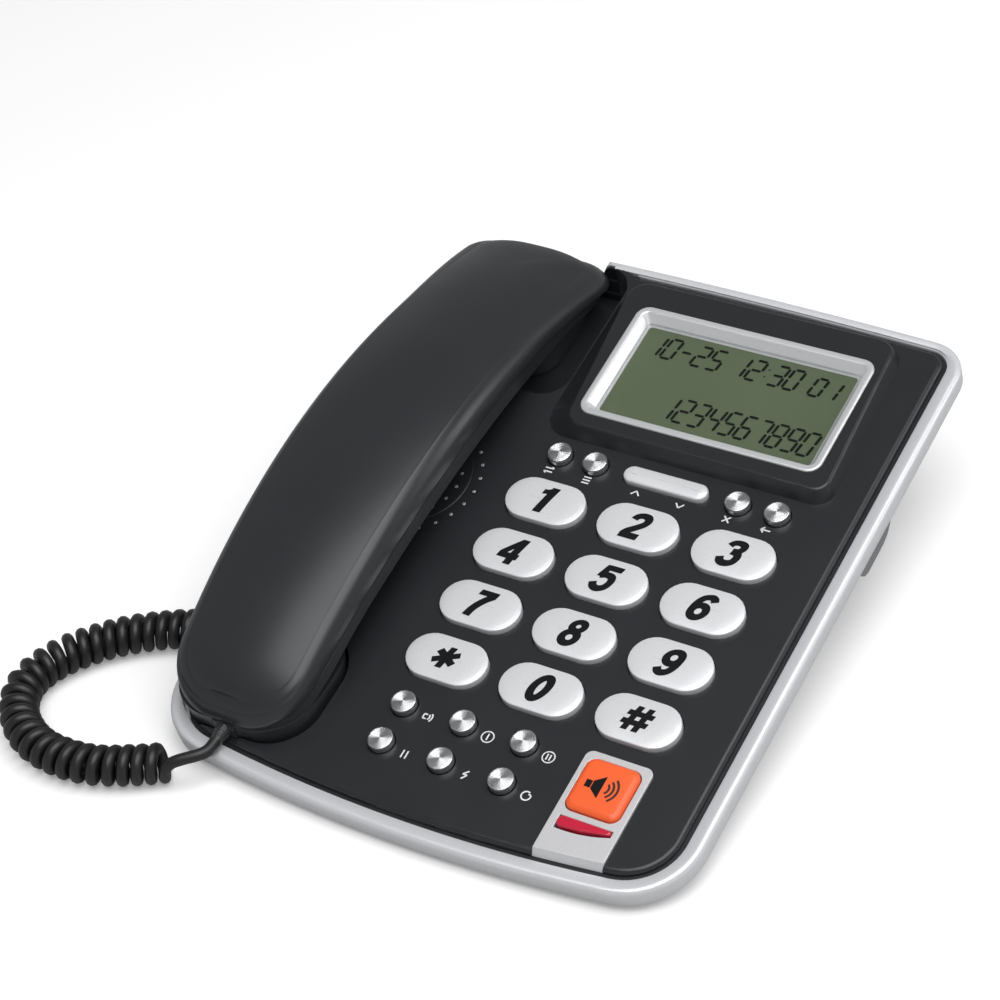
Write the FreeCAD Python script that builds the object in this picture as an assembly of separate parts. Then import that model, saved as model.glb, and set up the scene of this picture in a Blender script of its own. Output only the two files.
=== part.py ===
import FreeCAD, Part
import math
import os

os.makedirs("parts", exist_ok=True)
Vec = FreeCAD.Vector

# Sizes in millimetres, angles in degrees.
# Panel frame: x to the right, y up the panel, z out of its face, origin mid-case.
panel_tilt = 12.0
panel_height = 31.1

# Case outline
case_width = 177.0
case_length = 220.8
front_bow = 520.0
rear_bow = 2000.0
front_corner = 23.0
rear_corner = 12.5

# Silver trim round the panel
trim_height = 6.5
trim_shoulder = 1.6
trim_crest_inset = 1.2
trim_crest_drop = 0.2
trim_inner_drop = 1.4
trim_width = 5.2
trim_rear_width = 3.4
trim_flange = 3.3
trim_flange_thickness = 1.6
trim_crest_round = 0.7

# Top cover
cover_gap = 0.2
cover_ledge = 1.1
cover_ledge_drop = 2.0
cover_skirt_drop = 4.6
cover_wall = 2.2
cover_round = 1.6

# Bottom case
floor_gap = 3.0
case_wall = 2.2
case_rim_inset = 2.0
case_flank_inset = 13.0
case_flank_drop = 15.0
case_base_inset = 15.5
case_base_drop = 62.0
rear_slope_start = 65.4

# Feet
foot_length = 14.4
foot_width = 15.0
foot_clear = 0.4
foot_round = 2.4
pad_diameter = 11.0
pad_socket = 0.8
front_pad_x = 58.0
front_pad_y = -78.0

# Keypad
key_pitch_x = 32.0
key_pitch_y = 21.05
key_width = 26.5
key_height = 15.6
key_column_x = 21.1
key_row_y = 10.6
key_proud = 2.0
key_dome = 0.5
key_travel = 1.0
key_gap = 0.3
key_flange = 0.9
key_flange_thickness = 0.8
flange_gap = 0.2

# Round buttons
button_diameter = 8.0
button_proud = 2.7
button_chamfer = 0.7
top_button_y = 29.1
top_button_x = (-15.5, -3.0, 45.8, 58.9)
low_button_y = (-70.7, -84.5)
low_button_x = (-15.5, 4.8, 25.1)

# Rocker between the top buttons
rocker_x = 21.4
rocker_length = 28.5
rocker_width = 6.2
rocker_proud = 2.2
rocker_depth = 1.7
rocker_pin_diameter = 2.0
rocker_pin_reach = 1.6
rocker_pin_drop = 1.2
bearing_clearance = 0.06

# Speaker plate with the orange button and the lamp
plate_left = 43.6
plate_right = 65.1
plate_top_y = -65.6
plate_proud = 0.8
plate_depth = 0.8
plate_front_inset = 6.6
plate_lip = 1.6
speaker_button_x = 54.1
speaker_button_y = -76.9
speaker_button_width = 17.1
speaker_button_length = 17.8
speaker_button_corner = 3.0
speaker_button_proud = 2.3
speaker_button_bevel = 0.9
lamp_left = 46.1
lamp_right = 63.0
lamp_top_y = -88.1
lamp_left_height = 4.3
lamp_right_height = 1.9
lamp_bulge = 0.9
lamp_proud = 0.7

# Display block and bezel
block_height = 4.8
block_foot = ((-27.2, 36.6), (72.1, 36.6), (69.1, 102.1), (-27.2, 102.1))
block_foot_radii = (9.0, 6.0, 8.0, 9.0)
block_crest = ((-18.6, 39.6), (70.3, 38.6), (67.4, 100.4), (-24.2, 100.4))
block_crest_radii = (6.0, 4.5, 6.5, 6.0)
block_round = 1.2
bezel_x = 24.1
bezel_y = 67.5
bezel_width = 82.5
bezel_length = 46.7
bezel_corner = 4.5
bezel_proud = 0.5
bezel_depth = 5.2
bezel_flat = 2.6
bezel_edge_round = 0.4
window_width = 74.0
window_length = 37.0
window_sink = 2.8
window_thickness = 1.2
display_thickness = 3.0
display_margin = 1.0

# Board stack under the keys
mat_gap = 0.25
mat_thickness = 1.0
board_thickness = 1.6
board_left = -30.0
board_right = 72.0
board_front = -89.0
board_rear = 35.0

# Loudspeaker and its grille
grille_x = -57.6
grille_y = 7.8
grille_rings = ((3.2, 4), (9.6, 11), (16.0, 19), (22.4, 26))
grille_hole = 1.2
speaker_diameter = 44.0
speaker_depth = 14.0
speaker_magnet = 26.0
speaker_gap = 0.4

# Handset frame: x across, y along, z away from its cradle
handset_y = 3.6
handset_drop = 9.3
handset_tilt = -2.94
handset_half_length = 102.0
handset_half_width = 26.5
handset_side_bow = 1600.0
handset_widest = 12.0
handset_front_corner = 17.0
handset_rear_corner = 9.0
crease_inset = 4.5
crease_height = 36.6
crease_radius = 251.0
crown_rise = 3.0
parting_height = 28.3
parting_radius = 289.0
parting_reveal = 0.15
parting_spare = 3.0
skirt_height = 21.8
skirt_radius = 315.0
skirt_inset = 0.8
grip_drop = 5.0
grip_inset = 8.0
underside_drop = 0.6
shell_wall = 2.2
end_cap_height = 1.4
cup_rest = 1.5
cup_draft = 0.8
cup_height = 8.0
front_cup = (-101.2, -59.0, 22.4, 15.0)
rear_cup = (58.0, 99.0, 20.8, 13.0)

# Cradle in the panel
cradle_gap = 0.8
cradle_floor_gap = 0.5
tub_wall = 1.6
recess_right = -27.6
recess_front = 50.0
recess_rear = 104.6
recess_corner = 9.0
recess_ramp = 9.0
skirt_clearance = 1.4
corner_scoop_x = -77.0
notch_floor = 3.2

# Pieces inside the handset
receiver_diameter = 34.0
receiver_depth = 8.0
receiver_y = 78.5
microphone_diameter = 9.7
microphone_depth = 5.5
microphone_y = -74.0
weight_length = 44.0
weight_width = 14.0
weight_depth = 5.0

# Hook switch
plunger_y = 67.0
plunger_width = 7.0
plunger_length = 4.0
plunger_rise = 3.0
plunger_gap = 0.3
plunger_clearance = 0.15
plunger_flange = 1.2
switch_depth = 7.0

# Modular plugs and their sockets
plug_width = 7.6
plug_height = 5.4
plug_length = 12.0
plug_clearance = 0.2
socket_wall = 1.3
socket_depth = 11.0
handset_plug_height = 6.4
jack_y = -52.0
jack_z = 7.9
jack_face_x = -79.5
line_jack_x = 20.0
line_jack_z = 17.0
line_jack_face = 76.0
line_mouth_width = 9.8
line_mouth_height = 7.0

# Batteries and their cover
cell_diameter = 14.2
cell_length = 50.0
cell_count = 3
cell_pitch = 14.8
bay_front = 6.0
bay_side = 27.0
battery_cover_thickness = 1.3
battery_cover_gap = 0.3

# Screws
case_screws_at = ((67.5, -64.5), (67.5, 33.0), (-66.0, -40.0), (-66.0, 36.0))
screw_diameter = 2.9
screw_head = 5.4
screw_head_depth = 1.8
screw_length = 10.0
boss_diameter = 6.4
handset_screws_at = (-30.0, 42.0)

# Curly cord, in the floor frame
wire_diameter = 2.6
wire_sides = 4
curl_radius = 4.05
curl_inner_pitch = 3.17
curl_route = (
    (-96.8, -56.8, 6.2),
    (-102.0, -59.4, 5.7),
    (-108.6, -62.8, 5.5),
    (-117.4, -68.4, 5.5),
    (-126.6, -77.4, 5.5),
    (-133.8, -88.0, 5.5),
    (-136.4, -101.6, 5.5),
    (-129.6, -113.6, 5.5),
    (-116.6, -122.0, 5.5),
    (-101.6, -123.2, 5.5),
    (-87.6, -119.4, 5.5),
    (-75.0, -111.4, 5.5),
)
base_lead_route = (
    (-92.4, -51.6, 7.0),
    (-96.6, -51.9, 4.0),
)
lead_route = (
    (-71.6, -113.6, 4.0),
    (-67.6, -112.0, 7.2),
    (-64.0, -109.2, 10.0),
)
boot_length = 5.0

half_width = case_width / 2
half_length = case_length / 2
tilt_sin = math.sin(math.radians(panel_tilt))
tilt_cos = math.cos(math.radians(panel_tilt))
floor_shift = -(trim_height + trim_shoulder) * tilt_sin / 2
handset_x = -(half_width - handset_half_width)


def arc(start, middle, end):
    return Part.Arc(start, middle, end).toShape()


def outline(inset, level, rear_inset=None):
    """Closed case outline, drawn in by inset, at a height above the panel."""
    rear_inset = inset if rear_inset is None else rear_inset
    side = half_width - inset
    arcs = []
    ends = (
        (-1, half_length - inset, front_bow - inset, front_corner - inset),
        (1, half_length - rear_inset, rear_bow - rear_inset, max(rear_corner - inset, 1.0)),
    )
    for way, reach, bow, corner in ends:
        centre_y = way * (reach - bow)
        corner_x = side - corner
        rise = math.sqrt((bow - corner) ** 2 - corner_x ** 2)
        corner_y = centre_y + way * rise
        out = Vec(corner_x, way * rise, 0).normalize()
        touch = Vec(0, centre_y, level) + out * bow
        middle_way = (out + Vec(1, 0, 0)).normalize()
        middle = Vec(corner_x, corner_y, level) + middle_way * corner
        side_point = Vec(side, corner_y, level)
        arcs.append((touch, middle, side_point, Vec(0, way * reach, level)))
    front, rear = arcs

    def left(point):
        return Vec(-point.x, point.y, point.z)

    edges = [
        arc(left(front[0]), front[3], front[0]),
        arc(front[0], front[1], front[2]),
        Part.makeLine(front[2], rear[2]),
        arc(rear[2], rear[1], rear[0]),
        arc(rear[0], rear[3], left(rear[0])),
        arc(left(rear[0]), left(rear[1]), left(rear[2])),
        Part.makeLine(left(rear[2]), left(front[2])),
        arc(left(front[2]), left(front[1]), left(front[0])),
    ]
    return Part.Wire(edges)


def outline_prism(inset, low, high, rear_inset=None):
    face = Part.Face(outline(inset, low, rear_inset))
    return face.extrude(Vec(0, 0, high - low))


def rounded_polygon(points, radii, level):
    """Closed wire through the points, each corner rounded by its own radius."""
    count = len(points)
    starts, middles, ends = [], [], []
    for index in range(count):
        here = Vec(*points[index], level)
        back = (Vec(*points[index - 1], level) - here).normalize()
        ahead = (Vec(*points[(index + 1) % count], level) - here).normalize()
        half = back.getAngle(ahead) / 2
        setback = radii[index] / math.tan(half)
        bisector = (back + ahead).normalize()
        centre = here + bisector * (radii[index] / math.sin(half))
        starts.append(here + back * setback)
        middles.append(centre - bisector * radii[index])
        ends.append(here + ahead * setback)
    edges = []
    for index in range(count):
        edges.append(arc(starts[index], middles[index], ends[index]))
        edges.append(Part.makeLine(ends[index], starts[(index + 1) % count]))
    return Part.Wire(edges)


def rounded_rectangle(centre_x, centre_y, width, length, corner, level):
    x, y = width / 2, length / 2
    points = (
        (centre_x - x, centre_y - y),
        (centre_x + x, centre_y - y),
        (centre_x + x, centre_y + y),
        (centre_x - x, centre_y + y),
    )
    return rounded_polygon(points, (corner,) * 4, level)


def rounded_block(centre_x, centre_y, width, length, corner, low, high):
    wire = rounded_rectangle(centre_x, centre_y, width, length, corner, low)
    return Part.Face(wire).extrude(Vec(0, 0, high - low))


def box(x0, x1, y0, y1, z0, z1):
    return Part.makeBox(x1 - x0, y1 - y0, z1 - z0, Vec(x0, y0, z0))


def stadium(centre_x, centre_y, width, length, low, high):
    corner = min(width, length) / 2 - 0.01
    return rounded_block(centre_x, centre_y, width, length, corner, low, high)


def disc(x, y, diameter, low, high):
    return Part.makeCylinder(diameter / 2, high - low, Vec(x, y, low))


def prism(x, y, diameter, low, high, sides=6):
    """Upright prism with the given number of sides, as wide as the diameter across its corners."""
    points = []
    for corner in range(sides):
        angle = 2 * math.pi * (corner + 0.5) / sides
        points.append(Vec(x + diameter / 2 * math.cos(angle), y + diameter / 2 * math.sin(angle), low))
    return Part.Face(Part.makePolygon(points + points[:1])).extrude(Vec(0, 0, high - low))


def top_edges(shape, level):
    """Edges that lie wholly at the given height."""
    found = []
    for edge in shape.Edges:
        bounds = edge.BoundBox
        if abs(bounds.ZMin - level) < 1e-4 and abs(bounds.ZMax - level) < 1e-4:
            found.append(edge)
    return found


def on_floor(shape):
    """From the panel frame to the floor frame."""
    placed = shape.copy()
    placed.rotate(Vec(0, 0, 0), Vec(1, 0, 0), panel_tilt)
    placed.translate(Vec(0, floor_shift, panel_height))
    return placed


def on_cradle(shape):
    """From the handset frame to the panel frame."""
    placed = shape.copy()
    placed.rotate(Vec(0, 0, 0), Vec(1, 0, 0), handset_tilt)
    placed.translate(Vec(handset_x, handset_y, -handset_drop))
    return placed


def drop_along(distance, radius):
    return radius - math.sqrt(radius * radius - distance * distance)


# Handset shells

def handset_side(station, inset):
    """Half width of the handset's plan at a station along it."""
    reach = handset_half_length - inset
    corner = (handset_front_corner if station < 0 else handset_rear_corner) - inset
    bow = (station - handset_widest) ** 2 / (2 * handset_side_bow)
    side = handset_half_width - inset - bow
    past = abs(station) - (reach - corner)
    if past > 0:
        past = min(past, corner)
        side -= corner - math.sqrt(corner * corner - past * past)
    return side


def end_stations(inset, turns):
    """Stations of the rounded front and rear corners, evenly spread round each arc."""
    front_reach = handset_half_length - inset
    front = handset_front_corner - inset
    rear = handset_rear_corner - inset
    angles = [math.pi / 2 * turn / turns for turn in range(turns + 1)]
    low = [-(front_reach - front) - front * math.sin(a) for a in reversed(angles)]
    high = [front_reach - rear + rear * math.sin(a) for a in angles]
    return low, high


def top_section(station, inset):
    """Closed profile of the top shell: flank, crowned top, flank and flat underside."""
    parting = parting_height - drop_along(station, parting_radius)
    crease = crease_height - drop_along(station, crease_radius) - inset * 1.1
    wide = handset_side(station, inset)
    narrow = handset_side(station, crease_inset + inset)
    crown = crown_rise * narrow / (handset_half_width - crease_inset)
    base = parting + parting_reveal - inset * 0.02
    left = Vec(-wide, station, base)
    right = Vec(wide, station, base)
    crease_left = Vec(-narrow, station, crease)
    crease_right = Vec(narrow, station, crease)
    return Part.Wire([
        Part.makeLine(left, crease_left),
        arc(crease_left, Vec(0, station, crease + crown), crease_right),
        Part.makeLine(crease_right, right),
        Part.makeLine(right, left),
    ])


def top_end_section(way):
    """Profile where the flank meets the handset's end."""
    station = way * handset_half_length
    base = parting_height - drop_along(station, parting_radius) + parting_reveal
    wide = handset_side(station, 0.0)
    narrow = wide * 0.9
    left = Vec(-wide, station, base)
    right = Vec(wide, station, base)
    return Part.Wire([
        Part.makeLine(left, Vec(-narrow, station, base + end_cap_height * 0.6)),
        arc(Vec(-narrow, station, base + end_cap_height * 0.6),
            Vec(0, station, base + end_cap_height),
            Vec(narrow, station, base + end_cap_height * 0.6)),
        Part.makeLine(Vec(narrow, station, base + end_cap_height * 0.6), right),
        Part.makeLine(right, left),
    ])


def bottom_section(station, inset):
    """Closed profile of the bottom shell's walls and drawn-in grip, running on past the parting."""
    parting = parting_height - drop_along(station, parting_radius)
    skirt = skirt_height - drop_along(station, skirt_radius)
    middle = max(0.0, 1 - (station / 62.0) ** 2)
    grip = handset_grip(station) + inset
    wide = handset_side(station, inset)
    low_wide = wide - skirt_inset
    narrow = low_wide - (grip_inset - skirt_inset) * (0.25 + 0.75 * middle)
    top_wide = wide + skirt_inset * parting_spare / (parting - skirt)
    skirt += inset * 0.5
    points = [
        Vec(-top_wide, station, parting + parting_spare),
        Vec(-low_wide, station, skirt),
        Vec(-narrow, station, grip),
        Vec(narrow, station, grip),
        Vec(low_wide, station, skirt),
        Vec(top_wide, station, parting + parting_spare),
    ]
    return Part.makePolygon(points + points[:1])


def parting_cylinder(width):
    """Everything below the curved surface where the handset's shells meet."""
    axis_start = Vec(-width / 2, 0, parting_height - parting_radius)
    return Part.makeCylinder(parting_radius, width, axis_start, Vec(1, 0, 0))


def handset_top():
    low, high = end_stations(crease_inset, 3)
    middle = [-55.0, 0.0, 55.0]
    stations = low + middle + high
    body = Part.makeLoft([top_section(s, 0.0) for s in stations], True, False)
    for way, station in ((-1, stations[0]), (1, stations[-1])):
        last = Part.makeLoft([top_section(station, 0.0), top_end_section(way)], True, True)
        body = body.fuse(last)
    hollow_at = (-92.0, -60.0, -20.0, 20.0, 60.0, 92.0)
    hollow = Part.makeLoft([top_section(s, shell_wall) for s in hollow_at], True, True)
    posts = [prism(0, y, boss_diameter, handset_post(y), crease_height + 4.0, 8) for y in handset_screws_at]
    body = body.cut(hollow).fuse(posts[0].common(body)).fuse(posts[1].common(body))
    pilots = [prism(0, y, screw_diameter, 0.0, handset_screw_top(y)) for y in handset_screws_at]
    return body.cut(Part.makeCompound(pilots)).removeSplitter()


def handset_post(station):
    """Height where the screw posts of the two shells meet."""
    return parting_height - drop_along(station, parting_radius) - 1.0


def handset_screw_top(station):
    return crease_height - drop_along(station, crease_radius) - 3.0


def cup(ends, grow, low, high):
    """Drafted solid of an ear or mouth cup, grown sideways by grow."""
    front, rear, side, corner = ends
    middle = (front + rear) / 2
    wires = []
    for level in (low, high):
        extra = grow + cup_draft * (level - cup_rest) / cup_height
        wires.append(rounded_rectangle(
            0, middle, 2 * (side + extra), rear - front + 2 * extra, corner + extra, level))
    return Part.makeLoft(wires, True, True)


def handset_bottom():
    low, high = end_stations(0.0, 3)
    middle = [-62.0, -42.0, -21.0, 0.0, 21.0, 42.0, 62.0, 78.0]
    body = Part.makeLoft([bottom_section(s, 0.0) for s in low + middle + high], True, False)
    for ends in (front_cup, rear_cup):
        body = body.fuse(cup(ends, 0.0, cup_rest, cup_rest + cup_height))
    hollow_at = (-92.0, -62.0, -30.0, 0.0, 30.0, 62.0, 92.0)
    hollow = Part.makeLoft([bottom_section(s, shell_wall) for s in hollow_at], True, True)
    for ends in (front_cup, rear_cup):
        hollow = hollow.fuse(cup(ends, -shell_wall, cup_rest + shell_wall, cup_rest + cup_height + 6.0))
    body = body.cut(hollow)
    for y in handset_screws_at:
        under = handset_grip(y)
        post = prism(0, y, boss_diameter + 1.0, under + 0.5, handset_post(y), 8)
        body = body.fuse(post)
        body = body.cut(prism(0, y, screw_diameter + 0.4, 0.0, crease_height))
        body = body.cut(prism(0, y, screw_head + 0.4, 0.0, under + screw_head_depth + 0.4))
    body = body.cut(Part.makeCompound(sound_holes(receiver_y, 6.0, 6, 1.8)))
    body = body.cut(Part.makeCompound(sound_holes(microphone_y, 2.4, 4, 1.4)))
    body = body.cut(socket_block())
    body = body.cut(plug_space())
    return body.common(parting_cylinder(4 * handset_half_width)).removeSplitter()


def handset_grip(station):
    """Height of the grip's underside on the centre line."""
    middle = max(0.0, 1 - (station / 62.0) ** 2)
    return skirt_height - drop_along(station, skirt_radius) - underside_drop - grip_drop * middle


def socket_block():
    wide = plug_width / 2 + plug_clearance + socket_wall
    high = plug_height / 2 + plug_clearance + 0.8
    back = -handset_half_length - 1.0 + plug_length + 4.0
    return box(-wide, wide, back - 6.0, back + 1.2,
               handset_plug_height - high, handset_plug_height + high)


def plug_space():
    """Way in for the plug and its socket, through the handset's front end."""
    wide = plug_width / 2 + plug_clearance
    high = plug_height / 2 + plug_clearance
    front = -handset_half_length - 1.0
    return box(-wide, wide, front, front + plug_length + 4.0,
               handset_plug_height - high, handset_plug_height + high)


def sound_holes(centre_y, ring, count, hole):
    holes = [prism(0, centre_y, hole, cup_rest - 1, cup_rest + shell_wall + 1)]
    for index in range(count):
        angle = 2 * math.pi * index / count
        x = ring * math.cos(angle)
        y = centre_y + ring * math.sin(angle)
        holes.append(prism(x, y, hole, cup_rest - 1, cup_rest + shell_wall + 1))
    return holes


# Base: trim, cover and bottom case

def trim_frame():
    wires = [
        outline(0.0, -trim_height),
        outline(0.0, -trim_shoulder),
        outline(trim_crest_inset - trim_crest_round, -trim_crest_drop - trim_crest_round / 2),
        outline(trim_crest_inset + trim_crest_round, -trim_crest_drop),
        outline(trim_width, -trim_inner_drop, trim_rear_width),
    ]
    ring = Part.makeLoft(wires, True, True)
    ring = ring.cut(outline_prism(trim_width, -trim_height + trim_flange_thickness, 1.0, trim_rear_width))
    inner = trim_width + trim_flange
    ring = ring.cut(outline_prism(inner, -trim_height - 1.0, 0.0, trim_rear_width + trim_flange))
    ring = ring.cut(tub_space())
    return ring.cut(cradle_space()).removeSplitter()


def display_block(shrink, low, top):
    """Raised block round the display, drawn in on every side by shrink."""
    foot = drawn_in(block_foot, shrink)
    crest = drawn_in(block_crest, shrink)
    lower = rounded_polygon(foot, [max(r - shrink, 1.0) for r in block_foot_radii], low)
    upper = rounded_polygon(crest, [max(r - shrink, 1.0) for r in block_crest_radii], top)
    return Part.makeLoft([lower, upper], True, True)


def drawn_in(points, shrink):
    ways = ((1, 1), (-1, 1), (-1, -1), (1, -1))
    return [(x + shrink * a, y + shrink * b) for (x, y), (a, b) in zip(points, ways)]


def front_pocket(gap):
    """Well for the handset's mouth end, in the panel frame."""
    grown = (front_cup[0] - gap, front_cup[1] + gap, front_cup[2] + gap, front_cup[3] + gap)
    front, rear, side, corner = grown
    low = cup_rest - cradle_floor_gap
    wide = 2 * (side + cup_draft)
    return on_cradle(rounded_block(0, (front + rear) / 2, wide, rear - front, corner, low, 30.0))


def rear_pocket(gap):
    """Room round the handset's ear cup."""
    front, rear, side, corner = rear_cup
    low = cup_rest - cradle_floor_gap
    block = rounded_block(0, (front + rear) / 2, 2 * (side + gap + cup_draft), rear - front + 2 * gap,
                          corner + gap, low, 40.0)
    return on_cradle(block)


def cradle_space():
    """Everything cut away so that the handset can lie in its cradle."""
    notch = box(-plug_width / 2 - 0.6, plug_width / 2 + 0.6, -106.0, -100.0, notch_floor, 30.0)
    return front_pocket(cradle_gap).fuse([rear_pocket(cradle_gap), rear_recess(0.0, 0.0), handset_scoop(),
                                          on_cradle(notch)])


def rear_recess(grow, floor_drop):
    """Recess for the handset's ear end, open beside it, with a sloping front."""
    left = -half_width + trim_width + cover_gap - grow
    right = recess_right + grow
    front = recess_front - grow
    rear = recess_rear + grow
    width = right - left
    length = rear - front
    block = rounded_block(left + width / 2, front + length / 2, width, length,
                          recess_corner + grow, -40.0, 30.0)
    floor = on_cradle(box(-80, 80, -110, 140, cup_rest - cradle_floor_gap - floor_drop, 60))
    ramp_angle = math.degrees(math.atan2(12.0, recess_ramp))
    ramp = box(-120, 60, 0, 140, -60, 60)
    ramp.rotate(Vec(0, 0, 0), Vec(1, 0, 0), ramp_angle - 90)
    ramp.translate(Vec(0, front, 0))
    return block.common(floor).common(ramp)


def handset_scoop():
    """Room for the handset's side walls where they sink past the case's left edge."""
    points = []
    for station in (40.0, 72.0, 103.0):
        points.append(Vec(0, station, skirt_height - drop_along(station, skirt_radius) - skirt_clearance))
    top = 60.0
    wire = Part.Wire([
        arc(points[0], points[1], points[2]),
        Part.makeLine(points[2], Vec(0, 103.0, top)),
        Part.makeLine(Vec(0, 103.0, top), Vec(0, 40.0, top)),
        Part.makeLine(Vec(0, 40.0, top), points[0]),
    ])
    face = Part.Face(wire)
    face.translate(Vec(-60, 0, 0))
    side = face.extrude(Vec(60 + recess_right - handset_x, 0, 0))
    corner_low = points[2].z
    corner = box(-60, corner_scoop_x - handset_x, 102.0, 130.0, corner_low, top)
    return on_cradle(side.fuse(corner))


def grille_holes():
    holes = []
    for ring, count in grille_rings:
        for index in range(count):
            angle = 2 * math.pi * index / count
            x = grille_x + ring * math.cos(angle)
            y = grille_y + ring * math.sin(angle)
            holes.append(prism(x, y, grille_hole, -cover_wall - 1, 1))
    return holes


def key_places():
    names = ("1", "2", "3", "4", "5", "6", "7", "8", "9", "star", "0", "hash")
    places = []
    for index, name in enumerate(names):
        x = key_column_x + (index % 3 - 1) * key_pitch_x
        y = key_row_y - (index // 3) * key_pitch_y
        places.append(("key_" + name, x, y))
    return places


def button_places():
    places = []
    for index, x in enumerate(top_button_x):
        places.append(("menu_button_%d" % (index + 1), x, top_button_y))
    number = 1
    for y in low_button_y:
        for x in low_button_x:
            places.append(("function_button_%d" % number, x, y))
            number += 1
    return places


def top_cover():
    inner = trim_width + cover_gap
    inner_rear = trim_rear_width + cover_gap
    skirt = outline_prism(inner, -cover_skirt_drop, -cover_ledge_drop, inner_rear)
    deck = outline_prism(inner + cover_ledge, -cover_ledge_drop, 0.0, inner_rear + cover_ledge)
    deck = deck.makeFillet(cover_round, top_edges(deck, 0.0))
    block = display_block(0.0, -0.01, block_height)
    block = block.makeFillet(block_round, top_edges(block, block_height))
    body = skirt.fuse([deck, block])
    hollow = outline_prism(inner + cover_wall, -60.0, -cover_wall - 0.2, inner_rear + cover_wall)
    hollow = hollow.fuse(display_block(cover_wall + 0.6, -cover_wall - 0.5, block_height - cover_wall))
    inside = outline_prism(inner, -60.0, 0.0, inner_rear)
    tubs = front_pocket(cradle_gap + tub_wall)
    tubs.translate(Vec(0, 0, -tub_wall))
    tubs = tubs.fuse(rear_recess(tub_wall, tub_wall)).common(inside)
    tubs = tubs.common(outline_prism(inner, -60.0, -cover_round, inner_rear))
    body = body.cut(hollow).fuse(tubs)
    cuts = [
        cradle_space(),
        rounded_block(bezel_x, bezel_y, bezel_width + 0.2, bezel_length + 0.2, bezel_corner + 0.1,
                      block_height - bezel_depth, block_height + 5),
        plate_pocket(),
        plunger_hole(),
    ]
    for name, x, y in key_places():
        cuts.append(stadium(x, y, key_width + 2 * key_gap, key_height + 2 * key_gap, -10, 5))
    for name, x, y in button_places():
        cuts.append(disc(x, y, button_diameter + 2 * key_gap, -10, 5))
    cuts.append(stadium(rocker_x, top_button_y, rocker_length + 2 * key_gap, rocker_width + 2 * key_gap,
                        -10, 5))
    cuts += grille_holes()
    body = body.cut(Part.makeCompound(cuts))
    return body.fuse(rocker_bearings()).removeSplitter()


def bottom_shell(shrink):
    """Outer form of the bottom case, or its hollow when drawn in by the wall."""
    rim = outline(case_rim_inset + shrink, -trim_height)
    flank = outline(case_flank_inset + shrink, -case_flank_drop)
    base = outline(case_base_inset + shrink, -case_base_drop)
    body = Part.makeLoft([rim, flank, base], True, True)
    body = on_floor(body)
    low = floor_gap + shrink
    body = body.common(box(-200, 200, -200, 200, low, 200))
    raised = shrink * math.sqrt(2)
    slope = Part.makePolygon([
        Vec(-200, rear_slope_start - 300, -300 + raised),
        Vec(-200, rear_slope_start + 140, 140 + raised),
        Vec(-200, rear_slope_start - 300, 140 + raised),
        Vec(-200, rear_slope_start - 300, -300 + raised),
    ])
    return body.common(Part.Face(slope).extrude(Vec(400, 0, 0)))


def rear_foot(side):
    """Foot under a rear corner, its back face in line with the case's rear slope."""
    outer = half_width - case_base_inset
    front = rear_slope_start - foot_length
    low = foot_clear
    start = side * outer if side < 0 else outer - foot_width
    profile = [
        Vec(start, front, floor_gap + 1.0),
        Vec(start, front, low),
        Vec(start, rear_slope_start + low, low),
        Vec(start, rear_slope_start + floor_gap + 1.0, floor_gap + 1.0),
    ]
    foot = Part.Face(Part.makePolygon(profile + profile[:1])).extrude(Vec(foot_width, 0, 0))
    corner = [edge for edge in top_edges(foot, low) if abs(edge.BoundBox.YMax - front) < 1e-4]
    return foot.makeFillet(foot_round, corner)


def pad_places():
    outer = half_width - case_base_inset
    rear_x = outer - foot_width / 2
    rear_y = rear_slope_start - foot_length / 2
    places = [(x, front_pad_y, floor_gap) for x in (-front_pad_x, front_pad_x)]
    places += [(x, rear_y, foot_clear) for x in (-rear_x, rear_x)]
    return places


def bay_rear():
    return bay_front + cell_pitch * cell_count + 2.0


def bottom_case():
    body = bottom_shell(0.0)
    hollow = bottom_shell(case_wall)
    body = body.cut(hollow)
    body = body.fuse([rear_foot(-1), rear_foot(1)])
    cover_top = floor_gap + battery_cover_thickness + 0.1
    wide = bay_side + 3.0 + battery_cover_gap
    floor_pad = box(-wide - 2, wide + 2, bay_front - 5, bay_rear() + 5, floor_gap, cover_top + 1.2)
    body = body.fuse(floor_pad.common(bottom_shell(0.0)))
    body = body.cut(box(-wide, wide, bay_front - battery_cover_gap, 120, 0, cover_top))
    body = body.cut(box(-bay_side, bay_side, bay_front + 2, bay_rear() - 2, 0, cover_top + 2))
    for x, y in case_screws_at:
        post = prism(x, y, boss_diameter + 1.0, floor_gap, floor_gap + 7.0, 8)
        body = body.fuse(post)
        body = body.cut(prism(x, y, screw_head + 0.4, 0, floor_gap + screw_head_depth + 0.4))
        body = body.cut(prism(x, y, screw_diameter + 0.4, 0, floor_gap + 9.0))
    for x, y, low in pad_places():
        body = body.cut(prism(x, y, pad_diameter, -1, low + pad_socket, 12))
    body = body.cut(on_floor(cradle_space()))
    body = body.cut(on_floor(tub_space()))
    body = body.cut(jack_block())
    body = body.cut(jack_approach())
    body = body.cut(line_jack_block())
    body = body.cut(line_approach())
    return body.removeSplitter()


def tub_space():
    inner = trim_width + cover_gap
    inner_rear = trim_rear_width + cover_gap
    tubs = front_pocket(cradle_gap + tub_wall)
    tubs.translate(Vec(0, 0, -tub_wall))
    tubs = tubs.fuse(rear_recess(tub_wall, tub_wall))
    return tubs.common(outline_prism(inner, -60.0, 0.0, inner_rear))


def rubber_feet():
    pads = [prism(x, y, pad_diameter, 0.0, low + pad_socket, 12) for x, y, low in pad_places()]
    return Part.makeCompound(pads)


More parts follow.
